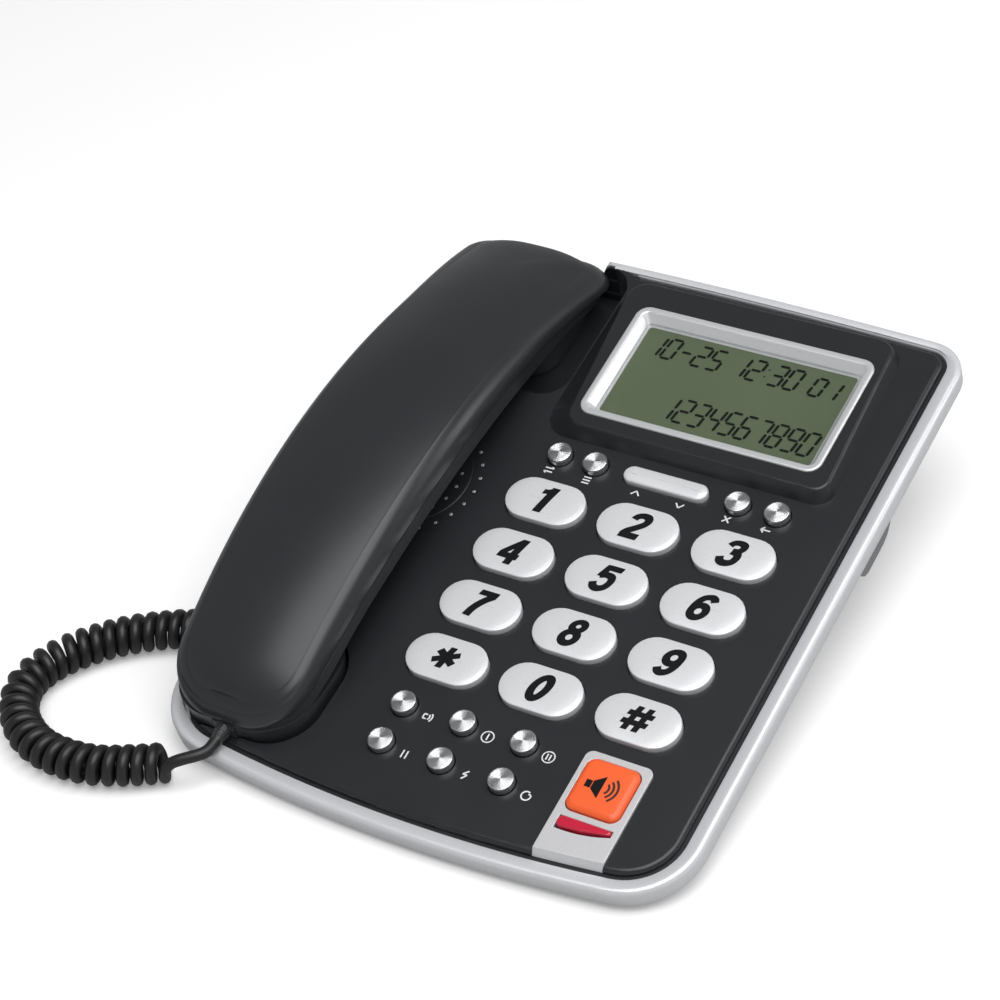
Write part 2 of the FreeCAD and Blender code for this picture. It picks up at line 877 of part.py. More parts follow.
def case_screws():
    screws = []
    for x, y in case_screws_at:
        head = prism(x, y, screw_head, floor_gap + 0.4, floor_gap + 0.4 + screw_head_depth)
        screws.append(head.fuse(prism(x, y, screw_diameter, floor_gap + 0.4, floor_gap + 0.4 + screw_length)))
    return Part.makeCompound(screws)


def cover_bosses():
    """Posts of the top cover that take the case screws, in the floor frame."""
    bosses = []
    for x, y in case_screws_at:
        post = prism(x, y, boss_diameter, floor_gap + 7.0, 70.0, 8)
        under = on_floor(outline_prism(trim_width + 2.0, -80.0, -cover_wall + 0.2))
        post = post.common(under)
        bosses.append(post.cut(prism(x, y, screw_diameter, 0, floor_gap + 7.0 + screw_length)))
    return bosses


# Keys and buttons

def key_cap(x, y):
    low = -key_flange_low()
    radius = (key_width / 2) ** 2 / (2 * key_dome)
    crown = Part.makeCylinder(radius, key_height, Vec(x, y - key_height / 2, key_proud + key_dome - radius),
                              Vec(0, 1, 0))
    cap = stadium(x, y, key_width, key_height, low, key_proud + key_dome + 1).common(crown)
    return cap.fuse(key_flange_plate(x, y, key_width, key_height)).removeSplitter()


def key_flange_plate(x, y, width, length):
    """Flange under the cover that keeps a key or button in its opening."""
    low = -key_flange_low()
    wide, long = width / 2 + key_flange, length / 2 + key_flange
    return box(x - wide, x + wide, y - long, y + long, low, low + key_flange_thickness)


def key_flange_low():
    return cover_wall + 0.2 + flange_gap + key_flange_thickness


def round_button(x, y):
    low = -key_flange_low()
    body = disc(x, y, button_diameter, low, button_proud)
    body = body.makeChamfer(button_chamfer, top_edges(body, button_proud))
    return body.fuse(key_flange_plate(x, y, button_diameter, button_diameter)).removeSplitter()


def volume_rocker():
    body = stadium(rocker_x, top_button_y, rocker_length, rocker_width, -rocker_depth, rocker_proud)
    crest = 260.0
    crown = Part.makeCylinder(crest, 60, Vec(rocker_x, top_button_y - 30, rocker_proud - crest), Vec(0, 1, 0))
    body = body.common(crown)
    reach = rocker_width / 2 + rocker_pin_reach
    pin = Part.makeCylinder(rocker_pin_diameter / 2, 2 * reach,
                            Vec(rocker_x, top_button_y - reach, -rocker_pin_drop - 2.4), Vec(0, 1, 0))
    web = box(rocker_x - 2, rocker_x + 2, top_button_y - rocker_width / 2 + 0.3,
              top_button_y + rocker_width / 2 - 0.3, -rocker_pin_drop - 2.4, -rocker_depth + 0.2)
    return body.fuse([pin, web]).removeSplitter()


def rocker_bearings():
    """Two lugs under the cover that carry the rocker's pin."""
    low = -rocker_pin_drop - 2.4
    lugs = []
    for side in (-1, 1):
        inner = rocker_width / 2 + key_gap
        outer = rocker_width / 2 + rocker_pin_reach + 0.4
        y0, y1 = sorted((top_button_y + side * inner, top_button_y + side * outer))
        lug = box(rocker_x - 2.4, rocker_x + 2.4, y0, y1, low - 1.9, -cover_wall + 0.1)
        bore = Part.makeCylinder(rocker_pin_diameter / 2 + bearing_clearance, 20,
                                 Vec(rocker_x, top_button_y - 10, low), Vec(0, 1, 0))
        lugs.append(lug.cut(bore))
    return lugs


def plate_outline(low, high):
    points = (
        (plate_left, -half_length),
        (plate_right, -half_length),
        (plate_right, plate_top_y),
        (plate_left, plate_top_y),
    )
    wire = rounded_polygon(points, (0.3, 0.3, 2.5, 2.5), low)
    return Part.Face(wire).extrude(Vec(0, 0, high - low))


def plate_pocket():
    lip = plate_outline(-cover_ledge_drop + 0.1, 5.0)
    lip = lip.cut(outline_prism(plate_front_inset + plate_lip, -10, 10))
    return plate_outline(-plate_depth, 5.0).fuse([lip, plate_openings()])


def plate_openings():
    wide = speaker_button_width + 2 * key_gap
    long = speaker_button_length + 2 * key_gap
    corner = speaker_button_corner + key_gap
    return rounded_block(speaker_button_x, speaker_button_y, wide, long, corner, -10.0, 5.0)


def speaker_plate():
    body = plate_outline(-plate_depth, plate_proud)
    body = body.common(outline_prism(plate_front_inset, -10, 10))
    lip = plate_outline(-cover_ledge_drop + 0.1, plate_proud)
    lip = lip.common(outline_prism(plate_front_inset - 0.1, -10, 10))
    lip = lip.cut(outline_prism(plate_front_inset + plate_lip, -10, 10))
    front = front_strip(lip)
    body = body.cut(front_region()).fuse(front)
    body = body.cut(plate_openings())
    return body.cut(lamp_solid(0.05, -10, 10)).removeSplitter()


def front_region():
    """What lies within the lip of the case's front edge."""
    inner = outline_prism(plate_front_inset + plate_lip, -10, 10)
    return outline_prism(plate_front_inset - 1.0, -10, 10).cut(inner)


def front_strip(lip):
    """The lip's turned-down face, sloping from the plate's top to the ledge."""
    upper = outline(plate_front_inset + plate_lip, plate_proud)
    lower = outline(plate_front_inset, -cover_ledge_drop + 0.1)
    slope = Part.makeLoft([lower, upper], True, True)
    return lip.common(slope)


def lamp_solid(grow, low, high):
    left = lamp_left - grow
    right = lamp_right + grow
    top = lamp_top_y + grow
    left_low = lamp_top_y - lamp_left_height - grow
    right_low = lamp_top_y - lamp_right_height - grow
    middle = Vec((left + right) / 2, (left_low + right_low) / 2 - lamp_bulge, low)
    wire = Part.Wire([
        Part.makeLine(Vec(left, top, low), Vec(left, left_low, low)),
        arc(Vec(left, left_low, low), middle, Vec(right, right_low, low)),
        Part.makeLine(Vec(right, right_low, low), Vec(right, top, low)),
        Part.makeLine(Vec(right, top, low), Vec(left, top, low)),
    ])
    return Part.Face(wire).extrude(Vec(0, 0, high - low))


def status_lamp():
    return lamp_solid(0.0, -plate_depth, plate_proud + lamp_proud)


def speaker_button():
    low = -key_flange_low()
    body = rounded_block(speaker_button_x, speaker_button_y, speaker_button_width, speaker_button_length,
                         speaker_button_corner, low, speaker_button_proud)
    body = body.makeChamfer(speaker_button_bevel, top_edges(body, speaker_button_proud))
    flange = key_flange_plate(speaker_button_x, speaker_button_y, speaker_button_width, speaker_button_length)
    return body.fuse(flange).removeSplitter()


# Display

def display_bezel():
    top = block_height + bezel_proud
    low = block_height - bezel_depth
    body = rounded_block(bezel_x, bezel_y, bezel_width, bezel_length, bezel_corner, low, top)
    body = body.makeChamfer(bezel_edge_round, top_edges(body, top))
    glass_top = top - window_sink
    inner = bezel_width - 2 * bezel_flat
    inner_length = bezel_length - 2 * bezel_flat
    funnel = Part.makeLoft([
        rectangle_wire(window_width, window_length, glass_top),
        rectangle_wire(inner, inner_length, top + 0.01),
    ], True, True)
    body = body.cut(funnel)
    seat = window_thickness
    opening = Part.Face(rectangle_wire(window_width - 2, window_length - 2, low - 1)).extrude(Vec(0, 0, 20))
    pocket = Part.Face(rectangle_wire(window_width, window_length, glass_top - seat)).extrude(Vec(0, 0, 20))
    pocket = pocket.common(Part.Face(rectangle_wire(window_width, window_length, low)).extrude(
        Vec(0, 0, glass_top - low + 0.02)))
    return body.cut(opening).cut(pocket).removeSplitter()


def rectangle_wire(width, length, level):
    x, y = width / 2, length / 2
    points = [
        Vec(bezel_x - x, bezel_y - y, level), Vec(bezel_x + x, bezel_y - y, level),
        Vec(bezel_x + x, bezel_y + y, level), Vec(bezel_x - x, bezel_y + y, level),
    ]
    return Part.makePolygon(points + points[:1])


def display_window():
    glass_top = block_height + bezel_proud - window_sink
    wire = rectangle_wire(window_width - 0.1, window_length - 0.1, glass_top - window_thickness)
    return Part.Face(wire).extrude(Vec(0, 0, window_thickness))


def display_panel():
    top = block_height - bezel_depth
    wire = rectangle_wire(window_width + 2 * display_margin, window_length + 2 * display_margin,
                          top - display_thickness)
    return Part.Face(wire).extrude(Vec(0, 0, display_thickness))


# Board stack and loudspeaker

def board_face(low, thickness, margin):
    left = board_left + margin
    right = board_right - margin
    block = box(left, right, board_front + margin, board_rear - margin, low, low + thickness)
    for x, y in case_screws_at:
        panel_y = (y - floor_shift + low * tilt_sin) / tilt_cos
        block = block.cut(prism(x, panel_y, boss_diameter + 3.0, low - 1, low + thickness + 1, 8))
    lug = rocker_pin_drop + 2.4 + 1.9 + 0.3
    if low + thickness > -lug:
        block = block.cut(box(rocker_x - 3, rocker_x + 3, top_button_y - 6, top_button_y + 6,
                              low - 1, low + 5))
    return block


def mat_top():
    return -key_flange_low() - key_travel - mat_gap


def key_mat():
    return board_face(mat_top() - mat_thickness, mat_thickness, 2.0)


def main_board():
    return board_face(mat_top() - mat_thickness - board_thickness, board_thickness, 0.0)


def loudspeaker():
    top = -cover_wall - 0.2 - speaker_gap
    rim = prism(grille_x, grille_y, speaker_diameter, top - 3.0, top, 16)
    cone = Part.makeCone(speaker_magnet / 2, speaker_diameter / 2 - 2, speaker_depth - 8.0,
                         Vec(grille_x, grille_y, top - speaker_depth + 5.0))
    low = top - speaker_depth
    magnet = prism(grille_x, grille_y, speaker_magnet - 1.0, low, low + 5.0, 16)
    return rim.fuse([cone, magnet]).removeSplitter()


# Hook switch

def plunger_floor():
    return cup_rest - cradle_floor_gap


def plunger_block(grow, low, high):
    return box(-plunger_width / 2 - grow, plunger_width / 2 + grow,
               plunger_y - plunger_length / 2 - grow, plunger_y + plunger_length / 2 + grow, low, high)


def plunger_hole():
    return on_cradle(plunger_block(plunger_clearance, -20, 10))


def hook_plunger():
    top = cup_rest - plunger_gap
    stop = plunger_floor() - tub_wall - plunger_rise - 0.05
    body = plunger_block(0.0, stop - plunger_flange, top)
    return body.fuse(plunger_block(1.2, stop - plunger_flange, stop))


def hook_switch():
    stop = plunger_floor() - tub_wall - plunger_rise - 0.05
    top = stop - plunger_flange - plunger_gap
    body = plunger_block(3.0, top - switch_depth, top)
    legs = []
    for side in (-1, 1):
        x0, x1 = sorted((side * (plunger_width / 2 + 1.6), side * (plunger_width / 2 + 3.0)))
        legs.append(box(x0, x1, plunger_y - 2, plunger_y + 2, top - 0.1, plunger_floor() - tub_wall))
    return body.fuse(legs)


# Sockets and plugs

def jack_block():
    outer_wide = plug_width / 2 + plug_clearance + socket_wall
    outer_high = plug_height / 2 + plug_clearance + socket_wall
    return box(jack_face_x, jack_face_x + socket_depth + 2.0, jack_y - outer_wide, jack_y + outer_wide,
               jack_z - outer_high, jack_z + outer_high)


def jack_approach():
    wide = plug_width / 2 + plug_clearance + socket_wall
    high = plug_height / 2 + plug_clearance + socket_wall
    return box(jack_face_x - 20, jack_face_x, jack_y - wide, jack_y + wide, jack_z - high, jack_z + high)


def handset_jack():
    wide = plug_width / 2 + plug_clearance
    high = plug_height / 2 + plug_clearance
    space = box(jack_face_x - 1, jack_face_x + socket_depth, jack_y - wide, jack_y + wide,
                jack_z - high, jack_z + high)
    return jack_block().cut(space)


def line_jack_block():
    wide = line_mouth_width / 2 + socket_wall
    high = line_mouth_height / 2 + socket_wall
    return box(line_jack_x - wide, line_jack_x + wide, line_jack_face - socket_depth - 2.0, line_jack_face,
               line_jack_z - high, line_jack_z + high)


def line_approach():
    wide = line_mouth_width / 2 + socket_wall
    high = line_mouth_height / 2 + socket_wall
    return box(line_jack_x - wide, line_jack_x + wide, line_jack_face, line_jack_face + 60,
               line_jack_z - high, line_jack_z + high)


def line_jack():
    wide = line_mouth_width / 2
    high = line_mouth_height / 2
    space = box(line_jack_x - wide, line_jack_x + wide, line_jack_face - socket_depth, line_jack_face + 1,
                line_jack_z - high, line_jack_z + high)
    return line_jack_block().cut(space)


def handset_socket():
    return socket_block().cut(plug_space())


# Batteries and their cover

def batteries():
    cells = []
    low = floor_gap + battery_cover_thickness + 0.1 + battery_cover_gap
    for index in range(cell_count):
        y = bay_front + 1.0 + cell_pitch * (index + 0.5)
        start = Vec(-cell_length / 2, y, low + cell_diameter / 2)
        cells.append(Part.makeCylinder(cell_diameter / 2, cell_length, start, Vec(1, 0, 0)))
    return Part.makeCompound(cells)


def battery_cover():
    wide = bay_side + 3.0
    low = floor_gap
    high = floor_gap + battery_cover_thickness
    profile = [
        Vec(-wide, bay_front, low),
        Vec(-wide, rear_slope_start + low, low),
        Vec(-wide, rear_slope_start + high, high),
        Vec(-wide, bay_front, high),
    ]
    return Part.Face(Part.makePolygon(profile + profile[:1])).extrude(Vec(2 * wide, 0, 0))


# Handset pieces

def receiver_capsule():
    low = cup_rest + shell_wall
    body = prism(0, receiver_y, receiver_diameter, low, low + receiver_depth - 2.0, 16)
    return body.fuse(prism(0, receiver_y, receiver_diameter - 8.0, low, low + receiver_depth, 16))


def microphone_capsule():
    low = cup_rest + shell_wall
    return prism(0, microphone_y, microphone_diameter, low, low + microphone_depth, 12)


def handset_weight():
    low = handset_grip(0) + shell_wall + 0.6
    return rounded_block(0, 4.0, weight_width, weight_length, 2.0, low, low + weight_depth)


def handset_screws():
    screws = []
    for y in handset_screws_at:
        under = handset_grip(y)
        head = prism(0, y, screw_head, under + 0.4, under + 0.4 + screw_head_depth)
        screws.append(head.fuse(prism(0, y, screw_diameter, under + 0.4, under + screw_length)))
    return Part.makeCompound(screws)


# Curly cord and its plugs

def base_plug():
    wide, high = plug_width / 2, plug_height / 2
    back = jack_face_x - 1.0
    body = box(back, back + plug_length, jack_y - wide, jack_y + wide, jack_z - high, jack_z + high)
    boot = Part.makeCone(wire_diameter / 2 + 0.5, 2.6, boot_length,
                         Vec(back - boot_length, jack_y, jack_z), Vec(1, 0, 0))
    return body.fuse(boot).removeSplitter()


def handset_plug():
    wide, high = plug_width / 2, plug_height / 2
    back = -handset_half_length - 0.4
    body = box(-wide, wide, back, back + plug_length, handset_plug_height - high, handset_plug_height + high)
    boot = Part.makeCone(wire_diameter / 2 + 0.5, 2.6, boot_length,
                         Vec(0, back - boot_length, handset_plug_height), Vec(0, 1, 0))
    return on_floor(on_cradle(body.fuse(boot).removeSplitter()))


def cord_start():
    return Vec(jack_face_x - 1.0 - boot_length, jack_y, jack_z)


def cord_finish():
    marker = Part.Vertex(Vec(0, -handset_half_length - 0.4 - boot_length, handset_plug_height))
    ahead = Part.Vertex(Vec(0, -handset_half_length - 0.4 - boot_length - wire_diameter, handset_plug_height))
    return on_floor(on_cradle(marker)).Point, on_floor(on_cradle(ahead)).Point


def curl_points():
    """Points a quarter turn apart round the cord's route, closed up evenly inside its bends."""
    count = len(curl_route)
    axis = Part.BSplineCurve()
    axis.buildFromPolesMultsKnots([Vec(*p) for p in curl_route], [3] + [1] * (count - 3) + [3],
                                  list(range(count - 1)), False, 2)
    total = axis.length()
    points = []
    travelled = 0.0
    quarter = 0
    while travelled < total or quarter % 4 != 0:
        place = axis.parameterAtDistance(min(travelled, total), axis.FirstParameter)
        ahead = axis.tangent(place)[0]
        across = ahead.cross(Vec(0, 0, 1)).normalize()
        up = across.cross(ahead)
        curvature = axis.curvature(place)
        angle = quarter * math.pi / 2
        spare = max(0.0, travelled - total)
        centre = axis.value(place) + ahead * spare
        outward = across * math.cos(angle) + up * math.sin(angle)
        points.append(centre + outward * curl_radius)
        travelled += curl_inner_pitch / (1 - curl_radius * curvature) / 4
        quarter += 1
    return points


def cord_points():
    start = cord_start()
    finish, before = cord_finish()
    points = [start, start - Vec(wire_diameter, 0, 0)]
    points += [Vec(*p) for p in base_lead_route]
    points += curl_points()
    points += [Vec(*p) for p in lead_route]
    points += [before, finish]
    return points


radii = []


def biarc(start, start_way, end, end_way):
    """Two arcs that join two points and keep the direction at each."""
    chord = end - start
    total_way = start_way + end_way
    spread = 2 * (1 - start_way.dot(end_way))
    along = chord.dot(total_way)
    if spread < 1e-6:
        reach = chord.dot(chord) / (4 * chord.dot(end_way))
    else:
        reach = (-along + math.sqrt(along * along + spread * chord.dot(chord))) / spread
    middle = (start + end + (start_way - end_way) * reach) * 0.5
    return [tangent_arc(start, start_way, middle), tangent_arc(end, end_way * -1, middle, True)]


def tangent_arc(start, way, end, backwards=False):
    chord = end - start
    half = chord.Length / 2
    along = Vec(chord).normalize()
    aside = way - along * way.dot(along)
    if aside.Length < 1e-5:
        return Part.makeLine(end, start) if backwards else Part.makeLine(start, end)
    turn = way.getAngle(along)
    radii.append(half / math.sin(turn))
    middle = start + along * half + aside.normalize() * (half * math.tan(turn / 2))
    return arc(end, middle, start) if backwards else arc(start, middle, end)


def handset_cord():
    points = cord_points()
    ways = []
    for index in range(1, len(points) - 1):
        ways.append((points[index + 1] - points[index - 1]).normalize())
    first = (points[1] - points[0]).normalize()
    last = (points[-1] - points[-2]).normalize()
    ways = [first, first] + ways[1:-1] + [last, last]
    edges = [Part.makeLine(points[0], points[1])]
    for index in range(1, len(points) - 2):
        edges += biarc(points[index], ways[index], points[index + 1], ways[index + 1])
    edges.append(Part.makeLine(points[-2], points[-1]))
    path = Part.Wire(edges)
    corners = []
    for side in range(wire_sides + 1):
        angle = 2 * math.pi * (side % wire_sides) / wire_sides
        corners.append(points[0] + Vec(0, math.cos(angle), math.sin(angle)) * (wire_diameter / 2))
    tube = path.makePipeShell([Part.makePolygon(corners)], True, False)
    return tube, path


def least_gap(path):
    """Least distance between the tube and itself, beyond its next bend."""
    places = path.discretize(Distance=0.5)
    nearest = 1e9
    skip = int(2.2 * wire_diameter / 0.5)
    for index in range(0, len(places)):
        for other in range(index + skip, min(len(places), index + 400)):
            nearest = min(nearest, (places[index] - places[other]).Length)
    return nearest - wire_diameter


# The whole telephone

def panel_pieces():
    pieces = {
        "trim_frame": trim_frame(),
        "top_cover": top_cover(),
        "display_bezel": display_bezel(),
        "display_window": display_window(),
        "display_panel": display_panel(),
        "main_board": main_board(),
        "key_mat": key_mat(),
        "loudspeaker": loudspeaker(),
        "speaker_plate": speaker_plate(),
        "status_lamp": status_lamp(),
        "volume_rocker": volume_rocker(),
        "speaker_button": speaker_button(),
        "hook_plunger": on_cradle(hook_plunger()),
        "hook_switch": on_cradle(hook_switch()),
    }
    for name, x, y in key_places():
        pieces[name] = key_cap(x, y)
    for name, x, y in button_places():
        pieces[name] = round_button(x, y)
    return pieces


def handset_pieces():
    return {
        "handset_top_shell": handset_top(),
        "handset_bottom_shell": handset_bottom(),
        "receiver_capsule": receiver_capsule(),
        "microphone_capsule": microphone_capsule(),
        "handset_weight": handset_weight(),
        "handset_socket": handset_socket(),
        "handset_screws": handset_screws(),
    }


def floor_pieces():
    return {
        "bottom_case": bottom_case(),
        "rubber_feet": rubber_feet(),
        "case_screws": case_screws(),
        "handset_jack": handset_jack(),
        "line_jack": line_jack(),
        "batteries": batteries(),
        "battery_cover": battery_cover(),
        "cord_plug_base": base_plug(),
        "cord_plug_handset": handset_plug(),
    }


pieces = {name: on_floor(shape) for name, shape in panel_pieces().items()}
for name, shape in handset_pieces().items():
    pieces[name] = on_floor(on_cradle(shape))
pieces.update(floor_pieces())
pieces["top_cover"] = pieces["top_cover"].fuse(cover_bosses()).removeSplitter()

cord, cord_path = handset_cord()
pieces["handset_cord"] = cord
print("cord length %.0f, least gap %.2f" % (cord_path.Length, least_gap(cord_path)))
print("cord radii %.1f to %.1f" % (min(radii), max(radii)))
wire_section = wire_sides / 2 * math.sin(2 * math.pi / wire_sides) * (wire_diameter / 2) ** 2
print("cord volume against section times length %.4f" % (cord.Volume / (wire_section * cord_path.Length)))

for name, shape in pieces.items():
    shape.exportStep("parts/" + name + ".step")
    print(name, shape.isValid(), len(shape.Solids), round(shape.Volume, 1))
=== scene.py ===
import math

import bmesh
import bpy
from mathutils import Matrix, Vector


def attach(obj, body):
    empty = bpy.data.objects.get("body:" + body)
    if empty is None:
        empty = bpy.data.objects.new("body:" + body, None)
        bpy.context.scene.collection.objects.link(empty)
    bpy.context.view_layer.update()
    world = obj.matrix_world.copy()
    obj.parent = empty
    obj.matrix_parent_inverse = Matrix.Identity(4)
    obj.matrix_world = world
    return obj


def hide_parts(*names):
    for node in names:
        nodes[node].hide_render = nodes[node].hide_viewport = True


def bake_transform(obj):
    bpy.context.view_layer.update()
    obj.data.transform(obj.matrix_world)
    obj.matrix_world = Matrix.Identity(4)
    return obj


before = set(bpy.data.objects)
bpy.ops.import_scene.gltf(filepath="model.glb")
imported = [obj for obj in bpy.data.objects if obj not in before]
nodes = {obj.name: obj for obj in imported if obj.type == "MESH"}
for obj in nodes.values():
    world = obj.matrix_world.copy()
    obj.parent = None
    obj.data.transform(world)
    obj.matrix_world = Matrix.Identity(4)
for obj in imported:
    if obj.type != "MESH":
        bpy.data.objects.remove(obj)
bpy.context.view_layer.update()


# Frames: the floor, the tilted panel and the handset on its cradle, all written in millimetres
placing = {"tilt": 12.0, "rise": 31.1, "shift": -0.842, "handset": (-62.0, 3.6, -9.3), "handsetTilt": -2.94}
millimetres = Matrix.Scale(0.001, 4)
panelFrame = (
    millimetres
    @ Matrix.Translation((0, placing["shift"], placing["rise"]))
    @ Matrix.Rotation(math.radians(placing["tilt"]), 4, "X")
)
handsetFrame = (
    panelFrame
    @ Matrix.Translation(placing["handset"])
    @ Matrix.Rotation(math.radians(placing["handsetTilt"]), 4, "X")
)

# Shader helpers

def newNode(tree, kind, settings, inputs):
    node = tree.nodes.new(kind)
    for name, value in settings.items():
        setattr(node, name, value)
    for key, value in inputs.items():
        if isinstance(value, bpy.types.NodeSocket):
            tree.links.new(value, node.inputs[key])
        else:
            node.inputs[key].default_value = value
    return node


class Amount:
    def __init__(self, finish, socket):
        self.finish = finish
        self.socket = socket

    def worked(self, operation, other):
        return self.finish.add("ShaderNodeMath", {"operation": operation}, {0: self, 1: other})

    def __add__(self, other):
        return self.worked("ADD", other)

    def __mul__(self, other):
        return self.worked("MULTIPLY", other)

    __radd__ = __add__
    __rmul__ = __mul__


def tinted(colour, factor):
    return tuple(min(1.0, c * factor) for c in colour)


class Finish:
    def __init__(self, name, colour, roughness, metallic=0.0, **others):
        self.material = bpy.data.materials.new(name)
        self.material.use_nodes = True
        self.tree = self.material.node_tree
        self.shader = self.tree.nodes["Principled BSDF"]
        values = {"Base_Color": (*colour, 1.0), "Roughness": roughness, "Metallic": metallic, **others}
        for socket, value in values.items():
            self.shader.inputs[socket.replace("_", " ")].default_value = value

    def add(self, kind, settings, inputs, output=0):
        sockets = {key: value.socket if isinstance(value, Amount) else value for key, value in inputs.items()}
        return Amount(self, newNode(self.tree, kind, settings, sockets).outputs[output])

    def feed(self, socket, amount):
        self.tree.links.new(amount.socket, self.shader.inputs[socket])

    def where(self):
        return self.add("ShaderNodeTexCoord", {}, {}, "Object")

    def noise(self, size, detail):
        inputs = {"Vector": self.where(), "Scale": 1.0 / size, "Detail": detail, "Roughness": 0.5}
        return self.add("ShaderNodeTexNoise", {"noise_dimensions": "3D"}, inputs, "Fac")

    def between(self, share, first, second):
        inputs = {0: share, 6: (*first, 1.0), 7: (*second, 1.0)}
        return self.add("ShaderNodeMix", {"data_type": "RGBA"}, inputs, 2)

    def shaded(self, share, colour, tints):
        self.feed("Base Color", self.between(share, tinted(colour, tints[0]), tinted(colour, tints[1])))

    def smudged(self, patches, roughness, smudge):
        self.feed("Roughness", patches * (2 * smudge) + (roughness - smudge))

    def bump(self, height, depth, strength):
        inputs = {"Height": height, "Distance": depth, "Strength": strength}
        self.feed("Normal", self.add("ShaderNodeBump", {}, inputs))


# Noise sizes and depths are in metres
plastic = {"cloud": 0.045, "tints": (0.88, 1.14), "patch": 0.018, "bump": 0.6}
paint = {"flake": 0.00016, "tints": (0.84, 1.14), "patch": 0.02, "smudge": 0.04, "ripple": 0.0006,
         "depth": 0.00001, "bump": 0.5}
spun = {"scale": 950.0, "wander": 1.2, "tints": (0.8, 1.12), "depth": 0.00006, "bump": 0.9}


def mouldedPlastic(name, colour, roughness, grain, depth, smudge=0.05, **others):
    finish = Finish(name, colour, roughness, **others)
    finish.shaded(finish.noise(plastic["cloud"], 3.0), colour, plastic["tints"])
    finish.smudged(finish.noise(plastic["patch"], 4.0), roughness, smudge)
    finish.bump(finish.noise(grain, 1.0), depth, plastic["bump"])
    return finish.material


def silverPaint(name, colour, roughness, metallic):
    finish = Finish(name, colour, roughness, metallic)
    finish.shaded(finish.noise(paint["flake"], 0.0), colour, paint["tints"])
    finish.smudged(finish.noise(paint["patch"], 3.0), roughness, paint["smudge"])
    finish.bump(finish.noise(paint["ripple"], 2.0), paint["depth"], paint["bump"])
    return finish.material


def spunMetal(name, colour, roughness, centre):
    finish = Finish(name, colour, roughness, 1.0)
    place = finish.add("ShaderNodeMapping", {"vector_type": "POINT"}, {
        "Vector": finish.where(), "Location": tuple(-c for c in centre)})
    rings = finish.add("ShaderNodeTexWave", {
        "wave_type": "RINGS", "rings_direction": "SPHERICAL", "wave_profile": "SIN"}, {
        "Vector": place, "Scale": spun["scale"], "Distortion": spun["wander"], "Detail": 2.0,
        "Detail Scale": 3.0}, "Fac")
    finish.shaded(rings, colour, spun["tints"])
    finish.bump(rings, spun["depth"], spun["bump"])
    return finish.material


print("finishes")
finishes = {
    "handset": mouldedPlastic("satinCharcoal", (0.022, 0.0235, 0.0265), 0.30, 0.00042, 0.000008),
    "cover": mouldedPlastic("satinBlack", (0.0165, 0.0178, 0.0205), 0.32, 0.0004, 0.000008),
    "case": mouldedPlastic("grainedBlack", (0.024, 0.025, 0.028), 0.5, 0.0006, 0.00003),
    "well": mouldedPlastic("dullBlack", (0.016, 0.016, 0.017), 0.62, 0.0005, 0.00003),
    "trim": silverPaint("trimSilver", (0.75, 0.76, 0.785), 0.34, 0.35),
    "key": silverPaint("keySilver", (0.81, 0.825, 0.845), 0.32, 0.32),
    "bezel": silverPaint("bezelSilver", (0.74, 0.75, 0.77), 0.3, 0.5),
    "plate": silverPaint("plateSilver", (0.70, 0.70, 0.72), 0.36, 0.4),
    "leg": silverPaint("legGrey", (0.2, 0.205, 0.215), 0.45, 0.2),
    # light grey for the grille's hole rims: a painted highlight on the hole edges, not the plastic's own
    # colour
    "highlightRim": silverPaint("paintedHighlightRim", (0.42, 0.42, 0.43), 0.45, 0.1),
    "ink": mouldedPlastic("printedInk", (0.006, 0.006, 0.007), 0.55, 0.0003, 0.000005,
                          Specular_IOR_Level=0.15),
    "whiteInk": mouldedPlastic("whiteInk", (0.72, 0.73, 0.74), 0.6, 0.0003, 0.000005),
    "iconInk": mouldedPlastic("iconInk", (0.035, 0.012, 0.006), 0.5, 0.0003, 0.000005),
    "olive": mouldedPlastic("displayOlive", (0.108, 0.142, 0.082), 0.5, 0.0008, 0.000004,
                            Specular_IOR_Level=0.2),
    "segment": mouldedPlastic("displaySegment", (0.004, 0.006, 0.0035), 0.5, 0.0008, 0.000004,
                              Specular_IOR_Level=0.1),
    "orange": mouldedPlastic("buttonOrange", (0.93, 0.125, 0.028), 0.36, 0.0006, 0.00001),
    "red": mouldedPlastic("lampCrimson", (0.55, 0.014, 0.045), 0.16, 0.0012, 0.00001, 0.02,
                          Coat_Weight=0.6),
    "cord": mouldedPlastic("cordVinyl", (0.0115, 0.0115, 0.0125), 0.40, 0.0012, 0.00003, 0.06),
    "clear": mouldedPlastic("clearNylon", (0.30, 0.31, 0.32), 0.14, 0.001, 0.00001, 0.02,
                            Transmission_Weight=0.9, IOR=1.3),
    "glass": mouldedPlastic("displayGlass", (0.05, 0.055, 0.05), 0.08, 0.004, 0.000002, 0.02,
                            Alpha=0.06),
    "rubber": mouldedPlastic("footRubber", (0.018, 0.018, 0.019), 0.8, 0.0005, 0.00005),
    "board": mouldedPlastic("boardGreen", (0.03, 0.14, 0.06), 0.4, 0.0009, 0.00002),
    "socket": mouldedPlastic("socketPlastic", (0.03, 0.03, 0.032), 0.45, 0.0006, 0.00002),
    "steel": silverPaint("platedSteel", (0.55, 0.56, 0.57), 0.3, 1.0),
}


# Mesh helpers

def skin(mesh, rings, closed=True):
    rows = [[mesh.verts.new(point) for point in ring] for ring in rings]
    for low, high in zip(rows, rows[1:]):
        count = len(low)
        for index in range(count if closed else count - 1):
            after = (index + 1) % count
            mesh.faces.new((low[index], low[after], high[after], high[index]))
    return rows


def meshData(name, mesh):
    data = bpy.data.meshes.new(name)
    mesh.to_mesh(data)
    mesh.free()
    return data


def placed(name, data):
    thing = bpy.data.objects.new(name, data)
    bpy.context.scene.collection.objects.link(thing)
    return thing


